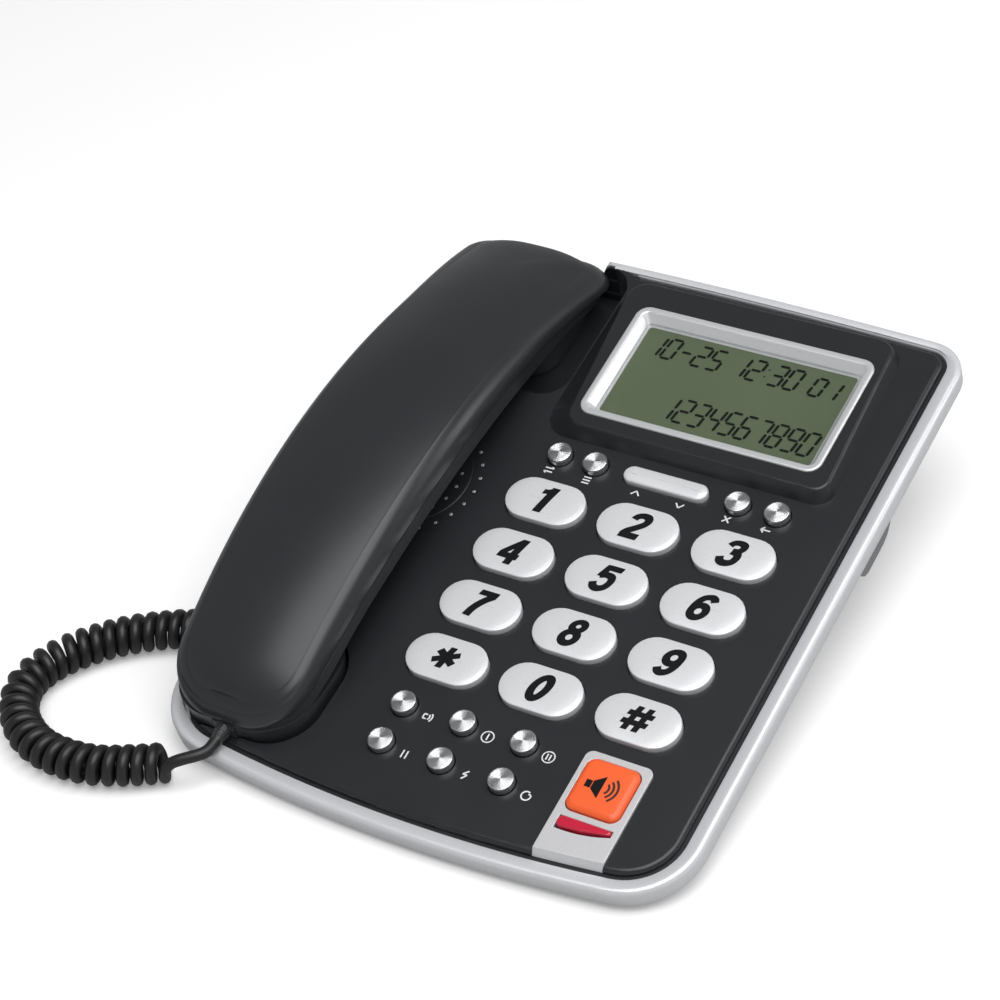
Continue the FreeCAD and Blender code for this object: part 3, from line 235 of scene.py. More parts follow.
def evaluated(thing):
    bpy.context.view_layer.update()
    graph = bpy.context.evaluated_depsgraph_get()
    return bpy.data.meshes.new_from_object(thing.evaluated_get(graph))


def faceUp(mesh):
    # a flat piece has no inside, so all its faces look up from the panel
    for face in mesh.faces:
        face.normal_update()
        if face.normal.z < 0:
            face.normal_flip()


def cleaned(name, mesh, place, doubles=0.0005):
    bmesh.ops.remove_doubles(mesh, verts=mesh.verts, dist=doubles)
    bmesh.ops.recalc_face_normals(mesh, faces=mesh.faces)
    levels = [vertex.co.z for vertex in mesh.verts]
    if max(levels) - min(levels) < doubles:
        faceUp(mesh)
    bmesh.ops.transform(mesh, matrix=place, verts=mesh.verts)
    return meshData(name, mesh)


def dressed(name, data, finish, body, replaced=(), sharp=35.0):
    data.polygons.foreach_set("use_smooth", [True] * len(data.polygons))
    data.set_sharp_from_angle(angle=math.radians(sharp))
    data.materials.clear()
    data.materials.append(finishes[finish] if isinstance(finish, str) else finish)
    thing = placed(name, data)
    if body:
        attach(thing, body)
    if replaced:
        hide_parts(*replaced)
    return thing


def piece(name, mesh, place, finish, body, replaced=(), sharp=35.0, doubles=0.0005):
    return dressed(name, cleaned(name, mesh, place, doubles), finish, body, replaced, sharp)


carrying = {"merge": 2e-6, "flat": 0.4, "bevelFrom": 38.0, "bevelSegments": 2}  # metres and degrees


def carried(node, name, finish, body, sharp, rounding=0.0):
    # a piece that keeps its solid's mesh, with its sharp edges rounded if asked
    mesh = bmesh.new()
    mesh.from_mesh(nodes[node].data)
    bmesh.ops.remove_doubles(mesh, verts=mesh.verts, dist=carrying["merge"])
    bmesh.ops.dissolve_limit(mesh, angle_limit=math.radians(carrying["flat"]), verts=mesh.verts,
                             edges=mesh.edges)
    if rounding:
        least = math.radians(carrying["bevelFrom"])
        edges = [e for e in mesh.edges if len(e.link_faces) == 2 and e.calc_face_angle(0) > least]
        bmesh.ops.bevel(mesh, geom=edges, offset=rounding * 0.001, offset_type="OFFSET",
                        segments=carrying["bevelSegments"], profile=0.5, affect="EDGES", clamp_overlap=True)
    thing = dressed(name, meshData(name, mesh), finish, body, (node,), sharp)
    evened = thing.modifiers.new("evened", "WEIGHTED_NORMAL")
    evened.keep_sharp = True
    evened.weight = 100


def roundedLoop(points, radii, level, steps=8):
    loop = []
    for index, radius in enumerate(radii):
        here = Vector((*points[index], level))
        back = (Vector((*points[index - 1], level)) - here).normalized()
        ahead = (Vector((*points[(index + 1) % len(points)], level)) - here).normalized()
        half = back.angle(ahead) / 2
        centre = here + (back + ahead).normalized() * (radius / math.sin(half))
        first = (here + back * (radius / math.tan(half)) - centre).normalized()
        last = (here + ahead * (radius / math.tan(half)) - centre).normalized()
        for step in range(steps + 1):
            loop.append(centre + first.slerp(last, step / steps) * radius)
    return loop


def rectangleLoop(centre, width, length, corner, level, steps=8):
    x, y = width / 2, length / 2
    points = [(centre[0] - x, centre[1] - y), (centre[0] + x, centre[1] - y),
              (centre[0] + x, centre[1] + y), (centre[0] - x, centre[1] + y)]
    return roundedLoop(points, [corner] * 4, level, steps)


def stadiumLoop(centre, width, length, inset, level, steps=14):
    radius = length / 2 - inset
    reach = (width - length) / 2
    loop = []
    for side in (1, -1):
        for step in range(steps + 1):
            angle = -math.pi / 2 + math.pi * step / steps
            loop.append(Vector((centre[0] + side * (reach + radius * math.cos(angle)),
                                centre[1] + side * radius * math.sin(angle), level)))
        for step in range(1, 5):
            loop.append(Vector((centre[0] + side * (reach - 2 * reach * step / 5),
                                centre[1] + side * radius, level)))
    return loop


def flatShape(mesh, points):
    mesh.faces.new([mesh.verts.new(point) for point in points])


def roundedEdge(centre, size, edge, level, steps):
    # a quarter round in six loops, from the side of a stadium to its top
    rings = []
    for step in range(6):
        angle = math.pi / 2 * step / 5
        rings.append(stadiumLoop(centre, *size, edge * (1 - math.cos(angle)), level + edge * math.sin(angle),
                                 steps))
    return rings


def lathe(mesh, centre, profile, steps=48):
    rings = []
    for radius, level in profile:
        rings.append([Vector((centre[0] + radius * math.cos(2 * math.pi * k / steps),
                              centre[1] + radius * math.sin(2 * math.pi * k / steps), level))
                      for k in range(steps)])
    skin(mesh, rings)


def smooth(value, low, high):
    share = min(1.0, max(0.0, (value - low) / (high - low)))
    return share * share * (3 - 2 * share)


# Handset: stations run from the mouth end to the ear end

handset = {
    "halfLength": 102.0, "halfWidth": 26.5, "sideBow": 1600.0, "widest": 12.0,
    "frontCorner": 17.0, "rearCorner": 9.0, "creaseInset": 4.5,
    "creaseHeight": 36.6, "creaseRadius": 251.0, "partingHeight": 28.3, "partingRadius": 289.0,
    "lip": ((0.55, -0.9), (0.3, 0.12)), "flankFoot": 0.3, "crown": 3.0, "crownDraw": 0.13,
    "flareReach": 18.0, "earRound": 2.5, "earLean": 0.22,
    "flank": ((0.0, 0.0), (0.0, 0.03), (0.03, 0.08), (0.1, 0.18), (0.22, 0.3), (0.42, 0.42), (0.7, 0.53),
              (1.05, 0.62), (1.45, 0.7), (1.9, 0.77), (2.35, 0.83), (2.8, 0.88), (3.25, 0.923),
              (3.6, 0.953), (3.9, 0.975), (4.15, 0.989), (4.35, 0.997), (4.5, 1.0)),
    "crownShares": (0.012, 0.03, 0.06, 0.12, 0.22, 0.36, 0.52, 0.68, 0.84, 1.0),
}
# What the ear end has more of: how much, and the stations between which it grows
earEnd = {
    "crown": (0.7, 40, 97), "square": (0.9, 40, 97), "rise": (1.1, 45, 97), "round": (1.0, 50, 97),
    "flare": (2.8, 52, 97), "push": (1.6, 86, 97), "longer": (0.56, 90, 99),
}
# The grooves round the mouth end: depth, middle and width of each
mouthEnd = {"stations": (84, 97), "flankGroove": (0.42, 1.9, 0.3), "crownGroove": (0.2, 0.02, 0.012)}


def droop(distance, radius):
    return radius - math.sqrt(radius * radius - distance * distance)


def grown(what, station):
    amount, first, last = earEnd[what]
    return amount * smooth(station, first, last)


def grooved(groove, place, station):
    depth, middle, width = mouthEnd[groove]
    return depth * smooth(-station, *mouthEnd["stations"]) * math.exp(-((place - middle) / width) ** 2)


def partingAt(station):
    return handset["partingHeight"] - droop(station, handset["partingRadius"])


def creaseAt(station):
    return handset["creaseHeight"] + grown("rise", station) - droop(station, handset["creaseRadius"])


def sideAt(station, inset):
    return handset["halfWidth"] - inset - (station - handset["widest"]) ** 2 / (2 * handset["sideBow"])


def handsetPlan(inset):
    reach = handset["halfLength"] - inset
    front = handset["frontCorner"] - inset
    rear = handset["rearCorner"] - inset
    half = []
    for step in range(5):
        half.append(((sideAt(-reach, inset) - front) * step / 5, -reach))
    for step in range(17):
        angle = math.pi / 2 * (1 - step / 16)
        station = -(reach - front) - front * math.sin(angle)
        half.append((sideAt(station, inset) - front + front * math.cos(angle), station))
    low, high = -(reach - front), reach - rear
    for step in range(1, 40):
        station = low + (high - low) * step / 40
        half.append((sideAt(station, inset), station))
    for step in range(13):
        angle = math.pi / 2 * step / 12
        station = high + rear * math.sin(angle)
        half.append((sideAt(station, inset) - rear + rear * math.cos(angle), station))
    for step in range(1, 6):
        half.append(((sideAt(reach, inset) - rear) * (1 - step / 5), reach))
    mirrored = [(-x, station) for x, station in reversed(half[1:-1])]
    return half + mirrored


def narrowAt(station):
    inset = handset["creaseInset"]
    corner = (handset["frontCorner"] if station < 0 else handset["rearCorner"]) - inset
    past = min(max(0.0, abs(station) - (handset["halfLength"] - inset - corner)), corner)
    return sideAt(station, inset) - corner + math.sqrt(corner * corner - past * past)


def crownAt(x, station):
    wide = handset["halfWidth"] - handset["creaseInset"]
    narrow = narrowAt(station)
    rise = (handset["crown"] + grown("crown", station)) * narrow / wide
    return creaseAt(station) + rise * (1 - abs(x / narrow) ** (2 + grown("square", station)))


def earShare(inset):
    # the ear end's flank: round at its foot, then on the crown's slope
    along = inset / handset["creaseInset"]
    power = handset["earRound"]
    curved = (1 - (1 - along) ** power) ** (1 / power)
    return curved + handset["earLean"] * (along - curved)


def handsetTop():
    mesh = bmesh.new()
    rings = []
    for inset, rise in handset["lip"]:
        rings.append([Vector((x, s, partingAt(s) + rise)) for x, s in handsetPlan(inset)])
    for inset, share in handset["flank"]:
        left = 1 - inset / handset["creaseInset"]
        ring = []
        for x, s in handsetPlan(inset):
            low, high = partingAt(s) + handset["flankFoot"], creaseAt(s)
            wider = left * grown("flare", s) * min(1.0, max(-1.0, x / handset["flareReach"]))
            longer = left * grown("longer", s) + (1 - left) * grown("push", s)
            fuller = share + (earShare(inset) - share) * grown("round", s)
            level = low + (high - low) * fuller - grooved("flankGroove", inset, s)
            ring.append(Vector((x + wider, s + longer, level)))
        rings.append(ring)
    for share in handset["crownShares"]:
        ring = []
        for x, s in handsetPlan(handset["creaseInset"]):
            station = s * (1 - handset["crownDraw"] * share)
            across = x * (1 - share)
            level = crownAt(across, station) - grooved("crownGroove", share, s)
            ring.append(Vector((across, station + (1 - share) * grown("push", s), level)))
        rings.append(ring)
    skin(mesh, rings)
    piece("handsetTopShell", mesh, handsetFrame, "handset", "handset",
          ("handset_top_shell",), 40.0)


print("handset")
handsetTop()
carried("handset_bottom_shell", "handsetBottomShell", "handset", "handset", 28.0)


# Case: silver trim, cover and bottom

case = {
    "halfWidth": 88.5, "halfLength": 110.4, "frontBow": 520.0, "rearBow": 2000.0,
    "frontCorner": 23.0, "rearCorner": 12.5, "leastCorner": 1.0,
}


def caseLoop(inset, rearInset, level):
    side = case["halfWidth"] - inset
    ends = ((-1, case["halfLength"] - inset, case["frontBow"] - inset, case["frontCorner"] - inset),
            (1, case["halfLength"] - rearInset, case["rearBow"] - rearInset,
             max(case["rearCorner"] - inset, case["leastCorner"])))
    quarters = []
    for way, reach, bow, corner in ends:
        centreY = way * (reach - bow)
        cornerX = side - corner
        rise = math.sqrt((bow - corner) ** 2 - cornerX ** 2)
        cornerY = centreY + way * rise
        swing = math.atan2(cornerX, rise)
        run = []
        for step in range(13):
            angle = swing * step / 12
            run.append((bow * math.sin(angle), centreY + way * bow * math.cos(angle)))
        for step in range(1, 15):
            angle = swing + (math.pi / 2 - swing) * step / 14
            run.append((cornerX + corner * math.sin(angle), cornerY + way * corner * math.cos(angle)))
        quarters.append(run)
    front, rear = quarters
    right = list(front)
    low, high = front[-1][1], rear[-1][1]
    right += [(side, low + (high - low) * step / 24) for step in range(1, 24)]
    right += list(reversed(rear))
    left = [(-x, y) for x, y in reversed(right[1:-1])]
    return [Vector((x, y, level)) for x, y in right + left]


def prismOf(loop, rise):
    mesh = bmesh.new()
    rows = skin(mesh, [loop, [point + rise for point in loop]])
    mesh.faces.new(list(reversed(rows[0])))
    mesh.faces.new(rows[1])
    return mesh


def block(low, high):
    corners = ((low[0], low[1]), (high[0], low[1]), (high[0], high[1]), (low[0], high[1]))
    return prismOf([Vector((*corner, low[2])) for corner in corners], Vector((0, 0, high[2] - low[2])))


def cutAway(data, cutters):
    # cutters are pairs of a closed mesh and its frame
    target = placed("target", data)
    used = []
    for mesh, place in cutters:
        bmesh.ops.recalc_face_normals(mesh, faces=mesh.faces)
        bmesh.ops.transform(mesh, matrix=place, verts=mesh.verts)
        cutter = placed("cutter", meshData("cutter", mesh))
        modifier = target.modifiers.new("cut", "BOOLEAN")
        modifier.operation = "DIFFERENCE"
        modifier.solver = "EXACT"
        modifier.object = cutter
        used.append(cutter)
    result = evaluated(target)
    for thing in [target] + used:
        bpy.data.objects.remove(thing)
    return result


trim = {
    "shape": ((0.05, -6.45), (0.0, -6.3), (0.0, -1.9), (0.06, -1.45), (0.2, -1.05), (0.42, -0.72),
              (0.72, -0.46), (1.1, -0.29), (1.5, -0.23), (2.0, -0.26), (3.0, -0.58), (4.2, -1.03),
              (4.9, -1.3), (5.12, -1.42), (5.2, -1.65), (5.2, -4.9), (8.5, -4.9), (8.5, -6.5), (4.0, -6.5)),
    "evenTo": 3.4, "narrower": 1.8, "crest": (4.2, 3.0), "crestSlope": 0.4,
}


def rearInsetOf(inset):
    # the strip behind the cover is narrower than those beside it
    if inset < trim["evenTo"]:
        return inset
    crest, rearCrest = trim["crest"]
    return max(rearCrest + (inset - crest) * trim["crestSlope"], inset - trim["narrower"])


cradle = {
    "foot": 1.0,
    "pockets": (((0, -80.1), (48.0, 43.8), 15.8, 29.0), ((0, 78.5), (45.0, 42.6), 13.8, 39.0)),
    "side": -60.0, "width": 94.4, "top": 60.0, "stations": (40.0, 103.0), "height": 20.4, "radius": 315.0,
    "ramp": ((-99.0, -12.0), (-47.0, -12.0), (-43.5, -8.5), (-41.5, -4.5), (-40.0, -1.6), (-38.5, -0.4),
             (-37.0, 0.3), (-36.0, 9.0), (-99.0, 9.0)),
    "rampFrom": 99.0, "rampLength": 20.0,
    "corners": (((-60.0, 100.0, -13.0), (-36.4, 107.9, 1.0)), ((-60.0, 99.0, -13.0), (-27.0, 107.0, -1.6))),
}


def cradleCutters():
    # two pockets for the cups, the hollow under the ear end, and the way out behind it
    cutters = []
    for centre, size, corner, depth in cradle["pockets"]:
        loop = rectangleLoop(centre, *size, corner, cradle["foot"])
        cutters.append((prismOf(loop, Vector((0, 0, depth))), handsetFrame))
    side, top = cradle["side"], cradle["top"]
    first, last = cradle["stations"]
    profile = []
    for step in range(13):
        station = first + (last - first) * step / 12
        profile.append(Vector((side, station, cradle["height"] - droop(station, cradle["radius"]))))
    profile += [Vector((side, last, top)), Vector((side, first, top))]
    cutters.append((prismOf(profile, Vector((cradle["width"], 0, 0))), handsetFrame))
    ramp = [Vector((x, cradle["rampFrom"], n)) for x, n in cradle["ramp"]]
    cutters.append((prismOf(ramp, Vector((0, cradle["rampLength"], 0))), panelFrame))
    for low, high in cradle["corners"]:
        cutters.append((block(low, high), panelFrame))
    return cutters


def silverTrim():
    mesh = bmesh.new()
    rings = [caseLoop(inset, rearInsetOf(inset), level) for inset, level in trim["shape"]]
    rings.append(rings[0])
    skin(mesh, rings)
    data = cutAway(cleaned("trimRing", mesh, panelFrame), cradleCutters())
    dressed("silverTrim", data, "trim", "base", ("trim_frame",), 40.0)


recess = {
    "edge": ((-36.6, 107.02), (-35.4, 106.7), (-33.4, 105.9), (-31.4, 104.7), (-29.8, 103.0),
             (-28.6, 100.9), (-27.8, 98.4), (-27.4, 96.0)),
    "fall": (104.5, 107.4),
    "lip": ((0.0, -14.0), (0.0, -0.85), (0.08, -0.5), (0.27, -0.24), (0.55, -0.08), (0.9, -0.02)),
    "lipAside": 0.8, "lipBack": 0.6, "lipBackEnds": (104, 107), "lipFall": 0.62,
    "skirtAside": 1.6, "skirtFrom": 105.5, "skirtGain": 2.1, "skirtGrows": (28.0, 36.7),
    "skirtLevel": -0.2, "skirtFall": 0.45,
    "wall": ((-77.0, -17.0), (-36.2, -17.0), (-36.2, -0.75), (-38.5, -0.9), (-40.0, -2.1), (-41.5, -5.0),
             (-43.5, -9.0), (-47.0, -12.4), (-77.0, -12.4)),
    "wallFrom": 107.05, "wallThick": 0.8,
}


def recessLip():
    # the cover's rounded edge round the corner of the ear end's recess, falling with the trim
    mesh = bmesh.new()
    rows = []
    for push, level in recess["lip"]:
        rows.append([Vector((x + push * recess["lipAside"],
                             y + push * recess["lipBack"] * (1 - smooth(y, *recess["lipBackEnds"])),
                             level - recess["lipFall"] * smooth(y, *recess["fall"])))
                     for x, y in recess["edge"]])
    rows.append([Vector((x + recess["skirtAside"],
                         recess["skirtFrom"] + recess["skirtGain"] * smooth(-x, *recess["skirtGrows"]),
                         recess["skirtLevel"] - recess["skirtFall"] * smooth(y, *recess["fall"])))
                 for x, y in recess["edge"]])
    skin(mesh, rows, False)
    lip = piece("recessLip", mesh, panelFrame, "cover", "base", (), 50.0)
    lip.data.flip_normals()  # its outer side is the recess's


def recessWall():
    # closes the recess behind the ear end, below the end's lower edge
    outline = [Vector((x, recess["wallFrom"], n)) for x, n in recess["wall"]]
    mesh = prismOf(outline, Vector((0, recess["wallThick"], 0)))
    piece("recessWall", mesh, panelFrame, "cover", "base", (), 30.0)


leg = {
    "outline": ((20.5, -6.0), (44.5, -6.0), (43.2, -8.0), (40.6, -10.2), (37.5, -11.1), (26.5, -11.3),
                (24.0, -10.4)),
    "thick": 5.2, "right": 83.0, "left": -88.2,
}


def sideLegs():
    # the grey swelling under the trim at either side
    for name, x in (("sideLegRight", leg["right"]), ("sideLegLeft", leg["left"])):
        mesh = prismOf([Vector((x, y, n)) for y, n in leg["outline"]], Vector((leg["thick"], 0, 0)))
        piece(name, mesh, panelFrame, "leg", "base", (), 40.0)


print("case")
silverTrim()
sideLegs()
recessLip()
recessWall()
carried("top_cover", "panelCover", "cover", "base", 30.0, 0.22)
carried("bottom_case", "bottomCase", "case", "base", 30.0)


# Keys

keypad = {
    "names": ("1", "2", "3", "4", "5", "6", "7", "8", "9", "star", "0", "hash"),
    "pitch": (32.0, 21.05), "first": (21.1, 10.6), "size": (26.5, 15.6), "foot": -3.2, "sideTop": 0.6,
    "edge": 0.42, "proud": 2.45, "dome": 0.6, "domePower": 2.3,
    "domeInsets": (1.2, 1.8, 2.6, 3.6, 4.8, 6.2, 7.79),
    "digitSize": 1.02, "digitLean": 0.24, "digitWeight": 1.1, "digitLift": 0.05,
}


def keyCentre(index):
    return (keypad["first"][0] + (index % 3 - 1) * keypad["pitch"][0],
            keypad["first"][1] - (index // 3) * keypad["pitch"][1])


def keyTopAt(dx, dy):
    width, length = keypad["size"]
    away = math.hypot(max(abs(dx) - (width - length) / 2, 0.0), dy) / (length / 2)
    return keypad["proud"] - keypad["dome"] * away ** keypad["domePower"]


def keyCap(name, centre):
    mesh = bmesh.new()
    levels = (keypad["foot"], keypad["sideTop"])
    rings = [stadiumLoop(centre, *keypad["size"], 0.0, level) for level in levels]
    rimLevel = keypad["proud"] - keypad["dome"] - keypad["edge"]
    rings += roundedEdge(centre, keypad["size"], keypad["edge"], rimLevel, 14)
    for inset in keypad["domeInsets"]:
        ring = stadiumLoop(centre, *keypad["size"], inset, 0.0)
        for point in ring:
            point.z = keyTopAt(point.x - centre[0], point.y - centre[1])
        rings.append(ring)
    skin(mesh, rings)
    piece("keyCap_" + name, mesh, panelFrame, "key", "key_" + name, ("key_" + name,), 50.0,
          0.002)


def softened(points, closed, steps=5):
    # Catmull-Rom through the points of one stroke
    count = len(points)
    found = []
    for index in range(count if closed else count - 1):
        if closed:
            four = [points[(index + k) % count] for k in (-1, 0, 1, 2)]
        else:
            four = [points[min(max(index + k, 0), count - 1)] for k in (-1, 0, 1, 2)]
        p0, p1, p2, p3 = (Vector(p) for p in four)
        for step in range(steps):
            t = step / steps
            found.append(0.5 * (2 * p1 + (p2 - p0) * t + (2 * p0 - 5 * p1 + 4 * p2 - p3) * t * t
                                + (3 * p1 - p0 - 3 * p2 + p3) * t * t * t))
    if not closed:
        found.append(Vector(points[-1]))
    return found


def ovalLine(x, y, wide, tall):
    points = [(x + wide * math.cos(math.pi * k / 8), y + tall * math.sin(math.pi * k / 8)) for k in range(16)]
    return points + points[:1]


# Each digit: strokes of points and a width, in a box about 6.4 wide and 10 tall
digitStrokes = {
    "1": (([(0.55, -5), (0.55, 5)], 2.4),
          ([(-2.5, 2.75), (-0.9, 3.05), (0.3, 4.1)], 1.7)),
    "2": (([(-2.35, 2.0), (-1.9, 3.3), (-0.5, 4.0), (1.1, 3.75), (2.0, 2.5), (1.7, 0.9), (0.2, -0.9),
            (-1.6, -2.7), (-2.2, -4.2)], 2.15),
          ([(-3.1, -4.0), (2.9, -4.0)], 2.0)),
    "3": (([(-2.4, 2.3), (-1.7, 3.6), (-0.1, 4.05), (1.5, 3.5), (1.85, 2.2), (1.1, 0.95), (-0.6, 0.55)], 2.0),
          ([(-0.6, 0.45), (1.3, 0.2), (2.15, -1.3), (1.7, -3.2), (0.0, -4.05), (-1.8, -3.6), (-2.6, -2.1)],
           2.1)),
    "4": (([(1.25, -5), (1.25, 5)], 2.2), ([(1.0, 4.4), (-2.6, -1.6)], 1.9),
          ([(-3.4, -2.0), (3.2, -2.0)], 1.9)),
    "5": (([(-1.9, 4.05), (2.9, 4.05)], 1.9), ([(-1.5, 4.9), (-2.1, 0.2)], 1.9),
          ([(-2.2, 0.5), (-0.4, 1.25), (1.5, 0.8), (2.15, -1.0), (1.6, -3.1), (-0.2, -4.05), (-1.8, -3.5),
            (-2.6, -2.1)], 2.05)),
    "6": ((ovalLine(0.0, -1.75, 2.1, 2.25), 2.05),
          ([(-2.15, -1.9), (-2.15, 0.8), (-1.35, 3.1), (0.3, 4.05), (1.6, 3.6), (2.3, 2.5)], 2.05)),
    "7": (([(-2.8, 4.05), (3.2, 4.05)], 1.9),
          ([(2.3, 3.6), (0.6, 1.3), (-0.7, -1.8), (-1.1, -5.0)], 2.3)),
    "8": ((ovalLine(0.0, 2.35, 1.75, 1.75), 1.9), (ovalLine(0.0, -1.95, 2.1, 2.15), 2.05)),
    "9": ((ovalLine(0.0, 1.75, 2.1, 2.25), 2.05),
          ([(2.15, 1.9), (2.15, -0.8), (1.35, -3.1), (-0.3, -4.05), (-1.6, -3.6), (-2.3, -2.5)], 2.05)),
    "0": ((ovalLine(0.0, 0.0, 2.05, 3.95), 2.15),),
    "star": (([(0.0, -3.9), (0.0, 3.9)], 1.9), ([(-3.4, -1.95), (3.4, 1.95)], 1.9),
             ([(-3.4, 1.95), (3.4, -1.95)], 1.9)),
    "hash": (([(-1.65, -4.3), (-1.65, 4.3)], 1.75), ([(1.65, -4.3), (1.65, 4.3)], 1.75),
             ([(-4.0, 1.55), (4.0, 1.55)], 1.65),
             ([(-4.0, -1.55), (4.0, -1.55)], 1.65)),
}


def strokeStrips(mesh, strokes, lean, size, lift, weight):
    # a stroke of two points is straight, and one that ends where it starts is a ring
    for points, width in strokes:
        looped = points[0] == points[-1]
        if len(points) > 2:
            line = softened(points[:-1] if looped else points, looped)
        else:
            line = [Vector(points[0]).lerp(Vector(points[1]), k / 10) for k in range(11)]
        rows = [[], [], []]
        count = len(line)
        for index, place in enumerate(line):
            if looped:
                ahead = (line[(index + 1) % count] - line[index - 1]).normalized()
            else:
                ahead = (line[min(index + 1, count - 1)] - line[max(index - 1, 0)]).normalized()
            aside = Vector((-ahead.y, ahead.x)) * width * weight / 2
            for row, shift in zip(rows, (-1, 0, 1)):
                x, y = (place + aside * shift) * size
                row.append(Vector((x + y * lean, y, lift(x + y * lean, y))))
        if looped:
            rows = [row + row[:1] for row in rows]
        skin(mesh, rows, False)


def keyDigit(name, centre):
    mesh = bmesh.new()
    strokeStrips(mesh, digitStrokes[name], keypad["digitLean"], keypad["digitSize"],
                 lambda x, y: keyTopAt(x, y) + keypad["digitLift"], keypad["digitWeight"])
    bmesh.ops.translate(mesh, vec=Vector((*centre, 0)), verts=mesh.verts)
    piece("keyMark_" + name, mesh, panelFrame, "ink", "key_" + name, (), 180.0, 0.00001)


print("keys")
for index, name in enumerate(keypad["names"]):
    keyCap(name, keyCentre(index))
    keyDigit(name, keyCentre(index))


# Round buttons

buttons = {
    "radius": 4.0, "proud": 2.7, "colour": (0.72, 0.73, 0.75), "roughness": 0.24, "dish": 0.1,
    "profile": ((0.0, 5.9), (0.0, 0.75), (0.05, 0.5), (0.18, 0.26), (0.4, 0.09), (0.65, 0.02), (0.85, 0.0),
                (1.2, 0.02), (2.4, 0.09), (3.75, 0.12), (4.0, 0.12)),
    "topY": 29.1, "topX": (-15.5, -3.0, 45.8, 58.9), "lowY": (-70.7, -84.5), "lowX": (-15.5, 4.8, 25.1),
}


def roundButton(name, x, y):
    # the profile gives each ring's inset and how far it lies below the top
    mesh = bmesh.new()
    lathe(mesh, (x, y), [(buttons["radius"] - inset, buttons["proud"] - below)
                         for inset, below in buttons["profile"]])
    middle = panelFrame @ Vector((x, y, buttons["proud"] - buttons["dish"]))
    finish = spunMetal("spunSteel_" + name, buttons["colour"], buttons["roughness"], middle)
    piece("button_" + name, mesh, panelFrame, finish, name, (name,), 45.0)


print("buttons")
for index, x in enumerate(buttons["topX"]):
    roundButton("menu_button_%d" % (index + 1), x, buttons["topY"])
for row, y in enumerate(buttons["lowY"]):
    for column, x in enumerate(buttons["lowX"]):
        roundButton("function_button_%d" % (row * 3 + column + 1), x, y)


# Rocker

rocker = {
    "centre": (21.4, 29.1), "size": (28.5, 6.2), "foot": -1.7, "sideTop": 0.4, "proud": 2.2, "edge": 0.8,
    "rim": 0.3, "top": ((1.3, 0.18), (1.9, 0.08), (2.5, 0.02), (3.09, 0.0)),
    "tipReach": 10.4, "tip": ((2.4, 1.0, 0.49, -0.1), (2.1, 0.7, 0.34, 0.22)),
}


def rockerBar():
    mesh = bmesh.new()
    centre, size, proud = rocker["centre"], rocker["size"], rocker["proud"]
    rings = [stadiumLoop(centre, *size, 0.0, level, 10) for level in (rocker["foot"], rocker["sideTop"])]
    rings += roundedEdge(centre, size, rocker["edge"], proud - rocker["rim"] - rocker["edge"], 10)
    rings += [stadiumLoop(centre, *size, inset, proud - below, 10) for inset, below in rocker["top"]]
    skin(mesh, rings)
    piece("volumeRocker", mesh, panelFrame, "key", "volume_rocker", ("volume_rocker",), 50.0,
          0.002)


def rockerTips():
    mesh = bmesh.new()
    x, y = rocker["centre"]
    for side in (-1, 1):
        centre = (x + side * rocker["tipReach"], y)
        rows = skin(mesh, [rectangleLoop(centre, width, length, corner, rocker["proud"] + rise, 4)
                           for width, length, corner, rise in rocker["tip"]])
        mesh.faces.new(rows[-1])
    piece("rockerTips", mesh, panelFrame, "key", "volume_rocker", (), 40.0)


print("rocker")
rockerBar()
rockerTips()


# Printed marks beside the buttons: small signs, no words

def arcLine(x, y, radius, first, last, steps=10):
    angles = [math.radians(first + (last - first) * k / steps) for k in range(steps + 1)]
    return [(x + radius * math.cos(a), y + radius * math.sin(a)) for a in angles]


def lines(*paths):
    # straight strokes, from each point of a path to the next
    return [([first, second], 1.0) for path in paths for first, second in zip(path, path[1:])]


badge = [(ovalLine(0.0, 0.0, 2.2, 2.2), 0.8)]
signs = {
    "swap": lines(((-1.7, 0.8), (1.7, 0.8), (0.8, 1.6)), ((-1.7, -0.8), (1.7, -0.8)),
                  ((-1.7, -0.8), (-0.8, -1.6))),
    "list": lines(((-1.5, 1.3), (1.5, 1.3)), ((-1.5, 0.0), (1.5, 0.0)), ((-1.5, -1.3), (1.5, -1.3))),
    "up": lines(((-1.6, -0.8), (0.0, 1.1), (1.6, -0.8))),
    "down": lines(((-1.6, 0.8), (0.0, -1.1), (1.6, 0.8))),
    "cross": lines(((-1.3, -1.3), (1.3, 1.3)), ((-1.3, 1.3), (1.3, -1.3))),
    "back": lines(((-1.8, 0.0), (1.8, 0.0)), ((-1.8, 0.0), (-0.6, 1.2)), ((-1.8, 0.0), (-0.6, -1.2))),
    "sound": lines(((-1.6, -0.9), (-0.3, -0.9)), ((-1.6, 0.9), (-0.3, 0.9)), ((-1.6, -0.9), (-1.6, 0.9)))
             + [(arcLine(-0.4, 0.0, 1.2, -55, 55), 1.0), (arcLine(-0.4, 0.0, 2.2, -45, 45), 1.0)],
    "one": lines(((0.0, -1.3), (0.0, 1.3))) + badge,
    "two": lines(((-0.6, -1.2), (-0.6, 1.2)), ((0.6, -1.2), (0.6, 1.2))) + badge,
    "pause": lines(((-0.8, -1.6), (-0.8, 1.6)), ((0.8, -1.6), (0.8, 1.6))),
    "flash": lines(((0.9, 1.8), (-0.9, 0.1), (0.9, 0.1), (-0.7, -1.8))),
    "again": [(arcLine(0.0, 0.0, 1.7, 60, 380, 14), 1.0)] + lines(((1.6, 0.6), (0.5, 0.9))),
}
